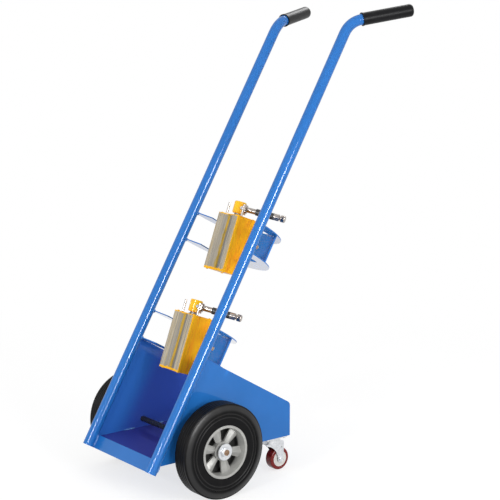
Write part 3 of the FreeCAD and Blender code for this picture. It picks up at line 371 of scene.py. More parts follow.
def hub_plastic():
    """Moulded grey hub with a faint metallic flake, and painted shade behind its spokes."""
    g = Graph("moulded_grey", IOR=1.4, Metallic=0.12)
    cloud = g.noise(40.0, 4.0)
    flake = g.ramp(g.noise(2600.0, 1.0), 0.55, 0.75)
    tone = g.mix(g.ramp(cloud, 0.3, 0.7), rgb(0.33, 0.33, 0.315), rgb(0.42, 0.42, 0.40))
    face = g.mix(flake, tone, rgb(0.46, 0.46, 0.445))
    out = g.math("SUBTRACT", g.math("ABSOLUTE", g.along((1, 0, 0))), WHEEL_X)
    # Painted shade: the recess behind the spokes is painted near black.
    painted_recess_shade = g.product(g.ramp(out, *RECESS_BACK), g.ramp(out, *RECESS_FRONT, 1.0, 0.0))
    g.drive("Base Color", g.mix(painted_recess_shade, face, rgb(0.045, 0.045, 0.043)))
    g.drive("Roughness", g.ramp(g.noise(90.0), 0.3, 0.7, 0.36, 0.48))
    g.drive("Normal", g.bump(g.noise(800.0, 2.0), 0.00003, 0.5))
    return g.material


def bearing_steel():
    """Ground ring with turning marks round the axle."""
    g = Graph("ground_steel", Metallic=1.0)
    rings = g.noise(60.0, 4.0, 0.6, g.stretched((40.0, 1.0, 1.0)))
    g.drive("Base Color", g.mix(rings, rgb(0.40, 0.40, 0.41), rgb(0.62, 0.62, 0.63)))
    g.drive("Roughness", g.ramp(rings, 0.3, 0.7, 0.22, 0.38))
    g.drive("Normal", g.bump(rings, 0.00003, 0.4))
    return g.material


def caster_core():
    """Cream moulded nylon: cloudy, with a thin gloss and a fine grain."""
    g = Graph("cream_nylon", IOR=1.52, Coat_Weight=0.2, Coat_Roughness=0.2)
    cloud = g.noise(120.0, 4.0)
    g.drive("Base Color", g.mix(cloud, rgb(0.64, 0.63, 0.59), rgb(0.76, 0.75, 0.71)))
    g.drive("Roughness", g.ramp(cloud, 0.3, 0.7, 0.34, 0.46))
    g.drive("Normal", g.bump(g.noise(900.0), 0.00003, 0.4))
    return g.material


def caster_tread():
    """Cast polyurethane: deep glossy red, a little scuffed."""
    g = Graph("red_polyurethane", IOR=1.3, Coat_Weight=0.15, Coat_Roughness=0.08)
    scuff = g.ramp(g.noise(90.0, 5.0, 0.6), 0.5, 0.75)
    g.drive("Base Color", g.mix(scuff, rgb(0.18, 0.010, 0.008), rgb(0.24, 0.024, 0.018)))
    g.drive("Roughness", g.ramp(scuff, 0.0, 1.0, 0.22, 0.4))
    g.drive("Normal", g.bump(g.noise(500.0, 2.0), 0.00004, 0.4))
    return g.material


YELLOW_PALE = rgb(1.0, 0.62, 0.012)
YELLOW_LIGHT = rgb(1.0, 0.46, 0.008)
YELLOW_DEEP = rgb(1.0, 0.33, 0.010)
YELLOW_EDGE_HIGHLIGHT = rgb(1.0, 0.54, 0.010)
YELLOW_STAIN = rgb(0.50, 0.15, 0.014)
YELLOW_SMEAR = rgb(0.42, 0.28, 0.02)
# Brush strokes run along the magnet.
STROKES = (90.0, 90.0, 16.0)


def yellow_paint():
    """Gloss enamel, brushed on in streaks along the magnet."""
    g = Graph("yellow_enamel", IOR=1.42)
    streak = g.noise(1.0, 5.0, 0.6, g.stretched(STROKES, MAGNET_TILT))
    g.drive("Base Color", g.mix(g.ramp(streak, 0.35, 0.7), YELLOW_PALE, YELLOW_LIGHT))
    g.drive("Roughness", g.ramp(streak, 0.3, 0.7, 0.10, 0.16))
    g.drive("Normal", g.bump(streak, 0.00003, 0.2))
    return g.material


GROOVE_HALF = 0.0225
SLOPE_EDGE = (GROOVE_HALF - 0.004, GROOVE_HALF)
SMEAR_EDGE = (0.004, 0.007)
SMEAR_WOBBLE = 0.004


def milled(g):
    """Colour, roughness and height of milled pole steel, banded along the magnet, with painted shade on the
    groove's slopes.
    """
    wide = g.noise(1.0, 3.0, 0.5, g.stretched((190.0, 30.0, 4.0), MAGNET_TILT))
    fine = g.noise(1.0, 4.0, 0.65, g.stretched((1500.0, 300.0, 14.0), MAGNET_TILT))
    across = g.math("ABSOLUTE", g.along((1, 0, 0)))
    bands = g.mix(g.ramp(wide, 0.42, 0.58), rgb(0.24, 0.22, 0.19), rgb(0.48, 0.38, 0.21))
    tone = g.mix(g.ramp(fine, 0.42, 0.66), bands, rgb(0.64, 0.60, 0.53))
    # The groove's slopes are painted greyer than the lands as painted shade, and enamel has smeared along its
    # middle.
    tone = g.mix(g.ramp(across, *SLOPE_EDGE, 0.6, 0.0), tone, rgb(0.24, 0.23, 0.215))
    wobble = g.noise(1.0, 5.0, 0.65, g.stretched((260.0, 60.0, 40.0), MAGNET_TILT))
    shifted = g.math("ADD", across, g.ramp(wobble, 0.3, 0.7, -SMEAR_WOBBLE, SMEAR_WOBBLE))
    tone = g.mix(g.ramp(shifted, *SMEAR_EDGE, 0.8, 0.0), tone, YELLOW_SMEAR)
    return tone, g.ramp(fine, 0.3, 0.7, 0.36, 0.52), fine


LOWER_RUN = 0.0035
EDGE_HIGHLIGHT_REACH = (POLE_FACE + 0.004, POLE_FACE + 0.012)
RAGGED = (0.001, -0.005)
BARE_EDGE = (0.001, 0.003)


def pole_paint(level):
    """Yellow enamel with the pole face milled bare and a painted highlight along the sides' front edge; paint has
    run over its edges.
    """
    g = Graph(level + "_pole_steel", IOR=1.24)
    pivot = joint_place(level + "_magnet_tilt")
    streak = g.noise(1.0, 5.0, 0.6, g.stretched(STROKES, MAGNET_TILT))
    paint = g.mix(g.ramp(streak, 0.4, 0.7), YELLOW_LIGHT, YELLOW_DEEP)
    stain = g.noise(1.0, 6.0, 0.7, g.stretched((150.0, 150.0, 26.0), MAGNET_TILT))
    paint = g.mix(g.ramp(stain, 0.52, 0.70, 0.0, 0.8), paint, YELLOW_STAIN)
    # Painted highlight: the sides are painted paler near the pole face, where the front edge catches the light.
    painted_edge_highlight = g.ramp(g.along(MAGNET_REAR, pivot), *EDGE_HIGHLIGHT_REACH, 0.7, 0.0)
    paint = g.mix(painted_edge_highlight, paint, YELLOW_EDGE_HIGHLIGHT)
    tone, rough, fine = milled(g)
    front = g.ramp(g.facing(-MAGNET_REAR), 0.8, 0.9)
    height = g.math("SUBTRACT", g.along(MAGNET_UP, pivot), MAGNET_MIDDLES[level])
    # More paint is left on the lower end.
    centred = g.math("ABSOLUTE", g.math("SUBTRACT", height, LOWER_RUN / 2))
    from_end = g.math("SUBTRACT", MAGNET_HALF_LENGTH - LOWER_RUN / 2, centred)
    from_side = g.math("SUBTRACT", MAGNET_HALF, g.math("ABSOLUTE", g.along((1, 0, 0))))
    edge = g.math("MINIMUM", from_end, g.math("MULTIPLY", from_side, 2.0))
    ragged = g.math("ADD", edge, g.ramp(g.noise(150.0, 5.0, 0.7), 0.35, 0.8, *RAGGED))
    bare = g.product(front, g.ramp(ragged, *BARE_EDGE))
    g.drive("Base Color", g.mix(bare, paint, tone))
    g.drive("Metallic", g.ramp(bare, 0.0, 1.0, 0.0, 0.75))
    shine = g.ramp(streak, 0.3, 0.7, 0.28, 0.4)
    scaled = g.product(g.math("SUBTRACT", rough, shine), bare)
    g.drive("Roughness", g.math("ADD", shine, scaled))
    g.drive("Normal", g.bump(fine, 0.00006, 0.6))
    return g.material


def spacer_resin():
    """Strip between the poles: dull yellow, grimy in places."""
    g = Graph("spacer_resin", IOR=1.5)
    patches = g.noise(1.0, 5.0, 0.65, g.stretched((120.0, 60.0, 22.0), MAGNET_TILT))
    grime = g.ramp(patches, 0.35, 0.7)
    g.drive("Base Color", g.mix(grime, rgb(0.62, 0.36, 0.012), rgb(0.25, 0.17, 0.02)))
    g.drive("Roughness", g.ramp(grime, 0.0, 1.0, 0.42, 0.62))
    g.drive("Normal", g.bump(g.noise(260.0, 4.0), 0.0001, 0.5))
    return g.material


def rotor_steel():
    """Turned steel of the rotor and its shaft, with oil in the marks."""
    g = Graph("rotor_steel", Metallic=1.0)
    rings = g.noise(1.0, 4.0, 0.6, g.stretched((20.0, 20.0, 900.0), MAGNET_TILT))
    g.drive("Base Color", g.mix(rings, rgb(0.10, 0.095, 0.09), rgb(0.30, 0.29, 0.27)))
    g.drive("Roughness", g.ramp(rings, 0.3, 0.7, 0.3, 0.48))
    g.drive("Normal", g.bump(rings, 0.00005, 0.5))
    return g.material


def bright_steel(name, bright, stained):
    """Bright plated steel with faint polishing lines and a few stains, which also serve as painted reflection of
    dark surroundings.
    """
    g = Graph(name, Metallic=1.0)
    polish = g.noise(1.0, 4.0, 0.6, g.stretched((60.0, 60.0, 700.0), MAGNET_TILT))
    # The stains are partly real and partly painted reflection: darker patches standing in for dark reflections.
    stain = g.ramp(g.noise(130.0, 5.0, 0.6), 0.5, 0.72)
    g.drive("Base Color", g.mix(stain, bright, stained))
    g.drive("Roughness", g.ramp(polish, 0.3, 0.7, 0.13, 0.23))
    g.drive("Normal", g.bump(polish, 0.00002, 0.1))
    return g.material


def lever_sleeve():
    """Black rubber sleeve with a fine grain, worn in places."""
    g = Graph("black_sleeve", IOR=1.5, Coat_Weight=0.2, Coat_Roughness=0.2)
    wear = g.ramp(g.noise(120.0, 5.0, 0.6), 0.5, 0.75)
    g.drive("Base Color", g.mix(wear, rgb(0.012, 0.012, 0.013), rgb(0.030, 0.030, 0.031)))
    g.drive("Roughness", g.ramp(wear, 0.0, 1.0, 0.32, 0.5))
    g.drive("Normal", g.bump(g.noise(1500.0, 2.0), 0.00008, 0.5))
    return g.material


def yellow_zinc():
    """Yellow-passivated zinc of the small bracket bolts."""
    g = Graph("yellow_zinc", Metallic=1.0)
    cloud = g.noise(400.0, 4.0)
    g.drive("Base Color", g.mix(cloud, rgb(0.74, 0.62, 0.38), rgb(0.90, 0.82, 0.64)))
    g.drive("Roughness", g.ramp(cloud, 0.3, 0.7, 0.26, 0.42))
    return g.material


MATERIALS = {
    "blue_paint": blue_paint(), "black_grip": black_grip(), "black_axle": black_axle(),
    "zinc": zinc(), "tyre_rubber": tyre_rubber(), "hub_plastic": hub_plastic(),
    "bearing_steel": bearing_steel(), "caster_core": caster_core(),
    "caster_tread": caster_tread(), "yellow_paint": yellow_paint(),
    "rotor_steel": rotor_steel(), "lever_sleeve": lever_sleeve(),
    "bright_steel": bright_steel("lever_plate", rgb(0.42, 0.38, 0.35), rgb(0.19, 0.16, 0.14)),
}


def dress_nodes():
    """Give each CAD node its material."""
    for name, node in NODES.items():
        node.data.materials.clear()
        node.data.materials.append(MATERIALS[SLOTS[name]])
    spacer = spacer_resin()
    pins = bright_steel("pin_plate", rgb(0.58, 0.54, 0.51), rgb(0.46, 0.34, 0.26))
    for level in LEVELS:
        pole = pole_paint(level)
        for milled_piece in ("left_pole", "right_pole", "end_plates"):
            NODES[f"{level}_magnet_{milled_piece}"].data.materials[0] = pole
        NODES[f"{level}_magnet_stop_pins"].data.materials[0] = pins
        NODES[f"{level}_magnet_spacers"].data.materials[0] = spacer


# Mesh helpers: closed shapes that go into a bmesh

def skin(mesh, rings):
    """Quads between rings of vertices; a ring of one vertex closes an end."""
    for lower, upper in zip(rings, rings[1:]):
        count = max(len(lower), len(upper))
        for step in range(count):
            following = (step + 1) % count
            corners = []
            for ring, index in ((lower, step), (lower, following),
                                (upper, following), (upper, step)):
                vertex = ring[index % len(ring)]
                if vertex not in corners:
                    corners.append(vertex)
            mesh.faces.new(corners)


def at_angle(value, angle):
    """A radius or height that may depend on the angle."""
    return value(angle) if callable(value) else value


def turned(mesh, place, profile, steps=24, closed=False):
    """Rings about the z axis of a place, from (radius, height) pairs.

    A radius or height may depend on the angle, and a closed profile runs back to its first ring.
    """
    rings = []
    for radius, height in profile:
        if radius == 0:
            rings.append([mesh.verts.new(place @ Vector((0, 0, height)))])
            continue
        ring = []
        for step in range(steps):
            angle = 2 * pi * step / steps
            reach = at_angle(radius, angle)
            spot = Vector((reach * cos(angle), reach * sin(angle), at_angle(height, angle)))
            ring.append(mesh.verts.new(place @ spot))
        rings.append(ring)
    if closed:
        rings.append(rings[0])
    skin(mesh, rings)


def hexagon(flats):
    """Radius of a hexagon by angle, with a corner on the x axis."""
    def radius(angle):
        return flats / 2 / cos(angle % (pi / 3) - pi / 6)
    return radius


HEXAGON_STEPS = 48
CHAMFER_SLOPE = tan(radians(30))
CHAMFER_START = 0.96
HEAD_RING = 0.2


def chamfered_hexagon(mesh, place, flats, height, bore=0.0):
    """Bolt head, or nut with a bore, whose corners are turned off at both ends."""
    edge = hexagon(flats)
    face = CHAMFER_START * flats / 2
    inside = bore or HEAD_RING * flats

    def drop(angle):
        return (edge(angle) - face) * CHAMFER_SLOPE

    def rise(angle):
        return height - drop(angle)

    profile = [(inside, 0), (face, 0), (edge, drop), (edge, rise), (face, height), (inside, height)]
    if not bore:
        profile = [(0, 0), *profile, (0, height)]
    turned(mesh, place, profile, HEXAGON_STEPS, closed=bool(bore))


WASHER_STEPS = 32


def washer(mesh, place, inner, outer, thickness, edge=0.0003):
    """Flat ring with slightly rounded rims."""
    profile = [(inner, 0), (outer - edge, 0), (outer, edge), (outer, thickness - edge),
               (outer - edge, thickness), (inner, thickness)]
    turned(mesh, place, profile, WASHER_STEPS, closed=True)


SCREW_SINK = 0.0005
DOME_DEGREES = (0, 15, 30, 45)


def socket_screw(mesh, place, radius, height):
    """Round button head with a hexagon socket, standing on the place's xy plane."""
    dome = [(radius * cos(angle), height * (0.25 + 0.75 * sin(angle)))
            for angle in map(radians, DOME_DEGREES)]
    socket = hexagon(0.9 * radius)
    turned(mesh, place, [(0, -SCREW_SINK), (radius, -SCREW_SINK), *dome, (socket, 0.93 * height),
                         (socket, 0.35 * height), (0, 0.3 * height)])


RIPPLE = 0.0024
RIPPLE_LOW = 0.86
RIPPLE_SWELL = 0.2
BEAD_STEP = 0.0004
BEAD_MIN_STEPS = 8
BEAD_SIDES = 8
BEAD_END = 0.45
BEAD_CAP = 0.3


def bead(mesh, line, radius):
    """Weld bead along a line: a rippled tube that is thinner at its ends."""
    length = sum((b - a).length for a, b in zip(line, line[1:]))
    spots = spread(line, max(int(length / BEAD_STEP), BEAD_MIN_STEPS))
    turns = [2 * pi * step / BEAD_SIDES for step in range(BEAD_SIDES)]
    rings = []
    across = None
    for number, (spot, ahead) in enumerate(spots):
        travelled = length * number / (len(spots) - 1)
        saw = (travelled / RIPPLE) % 1.0
        wave = RIPPLE_LOW + RIPPLE_SWELL * saw * (1.25 - saw)
        taper = min(travelled, length - travelled) / (2 * radius)
        reach = radius * wave * (BEAD_END + (1 - BEAD_END) * min(taper, 1.0))
        if across is None:
            across = ahead.orthogonal().normalized()
        else:
            across = (across - ahead * across.dot(ahead)).normalized()
        upward = ahead.cross(across)
        rings.append([mesh.verts.new(spot + reach * (across * cos(turn) + upward * sin(turn)))
                      for turn in turns])
    first = [mesh.verts.new(spots[0][0] - spots[0][1] * radius * BEAD_CAP)]
    final = [mesh.verts.new(spots[-1][0] + spots[-1][1] * radius * BEAD_CAP)]
    skin(mesh, [first, *rings, final])


def spread(line, count):
    """Evenly spaced (point, direction) pairs along a line of points."""
    lengths = [(b - a).length for a, b in zip(line, line[1:])]
    total = sum(lengths)
    found = []
    for number in range(count + 1):
        left = total * number / count
        index = 0
        while index < len(lengths) - 1 and left > lengths[index]:
            left -= lengths[index]
            index += 1
        ahead = (line[index + 1] - line[index]).normalized()
        found.append((line[index] + ahead * left, ahead))
    return found


SMOOTH_LIMIT = radians(38)


def piece(name, build, material, body, replaced=()):
    """Make one detail piece from a function that fills a bmesh, and let it ride on a body."""
    mesh = bmesh.new()
    build(mesh)
    bmesh.ops.recalc_face_normals(mesh, faces=mesh.faces)
    data = bpy.data.meshes.new(name)
    mesh.to_mesh(data)
    mesh.free()
    data.shade_smooth()
    data.set_sharp_from_angle(angle=SMOOTH_LIMIT)
    data.materials.append(material)
    made = bpy.data.objects.new(name, data)
    bpy.context.scene.collection.objects.link(made)
    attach(made, body)
    if replaced:
        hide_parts(*replaced)


# Welds

BEAD_RADIUS = 0.0026
BEAD_LIFT = 0.0005
BRACKET_BEAD = 0.0034
BRACKET_DEGREES = range(94, 164, 4)


def rail_line(*points):
    """Points of the rail frame, in the frame of the model."""
    return [RAIL @ Vector(point) for point in points]


def bracket_welds(mesh):
    """Fillets round the back and inner side of each rail, above and below each plate."""
    reach = RAIL_RADIUS + BEAD_LIFT
    for middle in PLATE_MIDDLES:
        for face in SIGNS:
            height = middle + face * (PLATE_HALF + BEAD_LIFT)
            for sign in SIGNS:
                line = [(sign * (RAIL_X + reach * cos(angle)), reach * sin(angle) - RAIL_FORWARD, height)
                        for angle in map(radians, BRACKET_DEGREES)]
                bead(mesh, rail_line(*line), BRACKET_BEAD)


WEB_STITCHES = (-0.112, -0.060, 0.030, 0.082)
WEB_STITCH = 0.030


def web_welds(mesh):
    """Stitches along both edges of each web, in front and behind."""
    for level in LEVELS:
        for edge in SIGNS:
            height = BRACKETS[level] + edge * (WEB_HALF_HEIGHT - BEAD_LIFT)
            for face in (WEB_FRONT - BEAD_LIFT, WEB_BACK + BEAD_LIFT):
                for start in WEB_STITCHES:
                    line = rail_line((start, face, height), (start + WEB_STITCH, face, height))
                    bead(mesh, line, BEAD_RADIUS)


def ear_welds(mesh):
    """Fillets where the pivot ears stand on the webs."""
    depth = WEB_BACK + BEAD_LIFT
    for level in LEVELS:
        for sign in SIGNS:
            across = sign * (EAR_FACE + BEAD_LIFT)
            line = [(across, depth, BRACKETS[level] + edge * EAR_RADIUS) for edge in SIGNS]
            bead(mesh, rail_line(*line), BEAD_RADIUS)


KICK_BEAD = 0.0032
KICK_BEAD_X = 0.0108
KICK_BEAD_Y = 0.0112
KICK_BEAD_ENDS = (0.003 - RAIL_FOOT, KICK_HEIGHT - 0.001 - RAIL_FOOT)
CORNER_BEAD_ENDS = (-0.119, -0.101)


def kick_welds(mesh):
    """Upright fillets where the kick strip meets the rails, and short ones outside the box."""
    depth = KICK_BEAD_Y - RAIL_FORWARD
    corner = sqrt(RAIL_RADIUS ** 2 - SHEET ** 2) + BEAD_LIFT - RAIL_FORWARD
    for sign in SIGNS:
        across = sign * (RAIL_X - KICK_BEAD_X)
        bead(mesh, rail_line(*((across, depth, height) for height in KICK_BEAD_ENDS)), KICK_BEAD)
        outside = sign * (RAIL_X + SHEET + BEAD_LIFT)
        bead(mesh, rail_line(*((outside, corner, height) for height in CORNER_BEAD_ENDS)), BEAD_RADIUS)


SIDE_STITCHES = (-0.035, 0.025, 0.085, 0.145)
SIDE_STITCH = 0.028


def side_welds(mesh):
    """Stitches inside the box, where each side plate meets its rail."""
    for sign in SIGNS:
        spot = (sign * (RAIL_X - BEAD_LIFT), RAIL_RADIUS + BEAD_LIFT - RAIL_FORWARD)
        for start in SIDE_STITCHES:
            bead(mesh, rail_line((*spot, start), (*spot, start + SIDE_STITCH)), BEAD_RADIUS)


FLOOR_STITCHES = 4
FLOOR_STITCH = 0.035
FLOOR_START = 0.09
FLOOR_CLEAR = 0.01
BACK_STITCHES = (0.012, 0.048)
BACK_STITCH = 0.022


def floor_welds(mesh):
    """Stitches inside the box, along the floor and up the back corners."""
    low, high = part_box("floor_plate")
    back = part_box("back_panel")[0]
    first = low.y + FLOOR_START
    last = back.y - FLOOR_STITCH - FLOOR_CLEAR
    for sign in SIGNS:
        across = sign * (RAIL_X - BEAD_LIFT)
        for number in range(FLOOR_STITCHES):
            depth = first + (last - first) * number / (FLOOR_STITCHES - 1)
            start = Vector((across, depth, high.z + BEAD_LIFT))
            bead(mesh, [start, start + Vector((0, FLOOR_STITCH, 0))], BEAD_RADIUS)
        for height in BACK_STITCHES:
            start = Vector((across, back.y - BEAD_LIFT, back.z + height))
            bead(mesh, [start, start + Vector((0, 0, BACK_STITCH))], BEAD_RADIUS)


def all_welds(mesh):
    """Every weld bead of the frame, in one piece."""
    bracket_welds(mesh)
    web_welds(mesh)
    ear_welds(mesh)
    kick_welds(mesh)
    side_welds(mesh)
    floor_welds(mesh)


# Fasteners

def outward(sign):
    """Turn of the z axis to the left or right side."""
    return Matrix.Rotation(sign * pi / 2, 4, "Y")


def lifted(place, height):
    """A place moved up along its own z axis."""
    return place @ Matrix.Translation((0, 0, height))


NUT_TURN = radians(18)


def axle_nuts(mesh):
    """Lock nuts on both ends of the main axle."""
    for sign in SIGNS:
        place = Matrix.Translation(AXLE + Vector((sign * NUT_START, 0, 0))) @ outward(sign)
        place = place @ Matrix.Rotation(sign * NUT_TURN, 4, "Z")
        chamfered_hexagon(mesh, place, NUT_FLATS, NUT_HEIGHT, AXLE_RADIUS)


CASTER_FLATS = 0.0118
CASTER_NUT = 0.0026
CASTER_HEAD = 0.0038
CASTER_WASHER_RADIUS = 0.0068
CASTER_WASHER = 0.0008
CASTER_THREAD = FORK_HALF + 0.004
THREAD_CHAMFER = 0.0006


def caster_bolt(side, sign):
    """Bolt of a caster wheel: head inside, nut and thread end outside."""
    def build(mesh):
        hub = Matrix.Translation(joint_place(side + "_caster_wheel_spin"))
        outer = lifted(hub @ outward(sign), FORK_HALF)
        washer(mesh, outer, CASTER_AXLE, CASTER_WASHER_RADIUS, CASTER_WASHER)
        chamfered_hexagon(mesh, lifted(outer, CASTER_WASHER), CASTER_FLATS, CASTER_NUT, CASTER_AXLE)
        chamfered_hexagon(mesh, lifted(hub @ outward(-sign), FORK_HALF), CASTER_FLATS, CASTER_HEAD)
        turned(mesh, hub @ outward(sign), [
            (0, -FORK_HALF), (CASTER_AXLE, -FORK_HALF), (CASTER_AXLE, CASTER_THREAD - THREAD_CHAMFER),
            (CASTER_AXLE - THREAD_CHAMFER, CASTER_THREAD), (0, CASTER_THREAD)])
    return build


FLOOR_BOLT_RADIUS = 0.0025
FLOOR_BOLT_END = 0.006
FLOOR_BOLT_TIP = 0.002
FLOOR_WASHER_RADIUS = 0.006
FLOOR_WASHER = 0.001
FLOOR_NUT_FLATS = 0.008
FLOOR_NUT = 0.0032
FLOOR_NUT_TURN = 0.4


def floor_nuts(mesh):
    """Nuts of the caster bolts, on the floor of the box."""
    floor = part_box("floor_plate")[1].z
    bolt = [(0, 0), (FLOOR_BOLT_RADIUS, 0), (FLOOR_BOLT_RADIUS, FLOOR_BOLT_END - THREAD_CHAMFER),
            (FLOOR_BOLT_TIP, FLOOR_BOLT_END), (0, FLOOR_BOLT_END)]
    for side, _ in SIDES:
        kingpin = joint_place(side + "_caster_swivel")
        for across in SIGNS:
            for along in SIGNS:
                spot = Vector((kingpin.x + across * CASTER_BOLTS[0],
                               kingpin.y + along * CASTER_BOLTS[1], floor))
                turn = Matrix.Rotation(FLOOR_NUT_TURN * across + along, 4, "Z")
                place = Matrix.Translation(spot) @ turn
                washer(mesh, place, FLOOR_BOLT_RADIUS, FLOOR_WASHER_RADIUS, FLOOR_WASHER)
                chamfered_hexagon(mesh, lifted(place, FLOOR_WASHER), FLOOR_NUT_FLATS, FLOOR_NUT,
                                  FLOOR_BOLT_RADIUS)
                turned(mesh, place, bolt)


WEB_BOLT_X = 0.066
WEB_BOLT_FLATS = 0.0075
WEB_BOLT_HEAD = 0.003
WEB_BOLT_NUT = 0.0032
WEB_WASHER_RADII = (0.002, 0.0052)
WEB_WASHER = 0.0008


def web_bolts(mesh):
    """Small bolts through the webs, beside the magnets."""
    for level in LEVELS:
        for sign in SIGNS:
            front = RAIL @ Matrix.Translation((sign * WEB_BOLT_X, WEB_FRONT, BRACKETS[level]))
            front = front @ Matrix.Rotation(pi / 2, 4, "X")
            washer(mesh, front, *WEB_WASHER_RADII, WEB_WASHER)
            chamfered_hexagon(mesh, lifted(front, WEB_WASHER), WEB_BOLT_FLATS, WEB_BOLT_HEAD)
            rear = RAIL @ Matrix.Translation((sign * WEB_BOLT_X, WEB_BACK, BRACKETS[level]))
            rear = rear @ Matrix.Rotation(-pi / 2, 4, "X")
            chamfered_hexagon(mesh, rear, WEB_BOLT_FLATS, WEB_BOLT_NUT)


END_SCREW_X = 0.0365
END_SCREW_INSET = 0.0075
END_SCREW_RADIUS = 0.0036
END_SCREW_HEIGHT = 0.0022


def end_screws(level):
    """Button screws at the corners of both end plates of a magnet."""
    def build(mesh):
        for sign in SIGNS:
            for depth in (POLE_FACE + END_SCREW_INSET, MAGNET_BACK - END_SCREW_INSET):
                spot = Vector((sign * END_SCREW_X, depth, MAGNET_MIDDLES[level]))
                for turn in (0, pi):
                    place = magnet_frame(level) @ Matrix.Translation(spot)
                    place = lifted(place @ Matrix.Rotation(turn, 4, "X"), MAGNET_HALF_LENGTH)
                    socket_screw(mesh, place, END_SCREW_RADIUS, END_SCREW_HEIGHT)
    return build


SHAFT_RADIUS = 0.010
COLLAR_RADIUS = 0.0135
COLLAR_HEIGHT = 0.0022
COLLAR_LIFT = 0.0003


def knob_collar(level):
    """Dark washer round the rotor's neck, on the end plate."""
    def build(mesh):
        place = lifted(lever_frame(level), COLLAR_LIFT - KNOB_HALF - KNOB_GAP)
        washer(mesh, place, SHAFT_RADIUS, COLLAR_RADIUS, COLLAR_HEIGHT)
    return build


KNOB_SCREW_TURN = radians(-52)
KNOB_SCREW_SINK = 0.0009
KNOB_SCREW_RADIUS = 0.0058
KNOB_SCREW_HEIGHT = 0.0030


def knob_screw(level):
    """Clamping screw in the front of the knob."""
    def build(mesh):
        front = lever_frame(level) @ Matrix.Rotation(KNOB_SCREW_TURN, 4, "Z")
        place = lifted(front @ outward(1), KNOB_RADIUS - KNOB_SCREW_SINK)
        socket_screw(mesh, place, KNOB_SCREW_RADIUS, KNOB_SCREW_HEIGHT)
    return build


LOCK_FLATS = 0.0185
LOCK_HEIGHT = 0.0024
CATCH_RADIUS = 0.00165
CATCH_TOP = 0.0105
CATCH_TIP = ((CATCH_RADIUS, 0.0158), (0.8 * CATCH_RADIUS, 0.0164), (0, 0.0166))


def lever_fasteners(level):
    """Thin lock nut that holds the key plate on its rod, and the catch under the plate."""
    def build(mesh):
        nut = lifted(lever_frame(level) @ outward(1), KEY_FACES[1])
        chamfered_hexagon(mesh, nut, LOCK_FLATS, LOCK_HEIGHT, LEVER_RADIUS)
        plate = lever_frame(level) @ Matrix.Translation((sum(KEY_FACES) / 2, 0, 0))
        turned(mesh, plate @ Matrix.Rotation(pi, 4, "X"),
               [(0, CATCH_TOP), (CATCH_RADIUS, CATCH_TOP), *CATCH_TIP])
    return build


def details():
    """Make all the pieces that the solids leave to the render."""
    piece("weld_beads", all_welds, weld_paint(), "frame")
    piece("axle_lock_nuts", axle_nuts, MATERIALS["zinc"], "frame", ["axle_nuts"])
    piece("caster_plate_nuts", floor_nuts, MATERIALS["zinc"], "frame")
    piece("web_bolts", web_bolts, yellow_zinc(), "frame")
    for side, sign in SIDES:
        piece(side + "_caster_bolt", caster_bolt(side, sign), MATERIALS["zinc"], side + "_caster",
              [side + "_caster_axle"])
    for level in LEVELS:
        piece(level + "_end_screws", end_screws(level), MATERIALS["yellow_paint"],
              level + "_magnet")
        piece(level + "_knob_collar", knob_collar(level), MATERIALS["rotor_steel"],
              level + "_rotor_body")
        piece(level + "_knob_screw", knob_screw(level), MATERIALS["zinc"],
              level + "_rotor_body")
        piece(level + "_lever_fasteners", lever_fasteners(level), MATERIALS["bright_steel"],
              level + "_lever")


# Studio

FLOOR_SIZE = 60.0
FLOOR_GLOW = 0.70
FLOOR_SHADE = rgb(0.36, 0.36, 0.36)
FLOOR_BOUNCE = rgb(0.75, 0.75, 0.75)
WHITE = rgb(1, 1, 1)
SHADOW_REACH = (1.0, 2.2)
WORLD_LIGHT = 0.75


def seen_rays(tree):
    """1 for camera, glossy and transmission rays, and 0 for diffuse light."""
    path = tree.nodes.new("ShaderNodeLightPath")
    total = path.outputs["Is Camera Ray"]
    for name in ("Is Glossy Ray", "Is Transmission Ray"):
        node = tree.nodes.new("ShaderNodeMath")
        node.operation = "MAXIMUM"
        tree.links.new(total, node.inputs[0])
        tree.links.new(path.outputs[name], node.inputs[1])
        total = node.outputs[0]
    return total


def floor_material():
    """White to the eye with a soft shadow near the truck, and a pale floor to diffuse light."""
    g = Graph("pale_floor")
    tree = g.tree
    tree.nodes.remove(g.bsdf)
    output = tree.nodes["Material Output"]
    glow = g.node("Emission", {"Color": WHITE, "Strength": FLOOR_GLOW}).outputs[0]
    shade = g.node("BsdfDiffuse", {"Color": FLOOR_SHADE}).outputs[0]
    near = g.node("AddShader", {0: glow, 1: shade}).outputs[0]
    white = g.node("Emission", {"Color": WHITE, "Strength": 1.0}).outputs[0]
    distance = g.node("VectorMath", {0: g.place}, operation="LENGTH").outputs["Value"]
    fade = g.ramp(distance, *SHADOW_REACH)
    seen = g.node("MixShader", {0: fade, 1: near, 2: white}).outputs[0]
    bounce = g.node("BsdfDiffuse", {"Color": FLOOR_BOUNCE}).outputs[0]
    both = g.node("MixShader", {0: seen_rays(tree), 1: bounce, 2: seen}).outputs[0]
    tree.links.new(both, output.inputs["Surface"])
    return g.material


def make_floor():
    """Wide floor under the truck, which is not part of it."""
    half = FLOOR_SIZE / 2
    corners = [(-half, -half, 0), (half, -half, 0), (half, half, 0), (-half, half, 0)]
    data = bpy.data.meshes.new("floor")
    data.from_pydata(corners, [], [(0, 1, 2, 3)])
    data.materials.append(floor_material())
    floor = bpy.data.objects.new("floor", data)
    bpy.context.scene.collection.objects.link(floor)


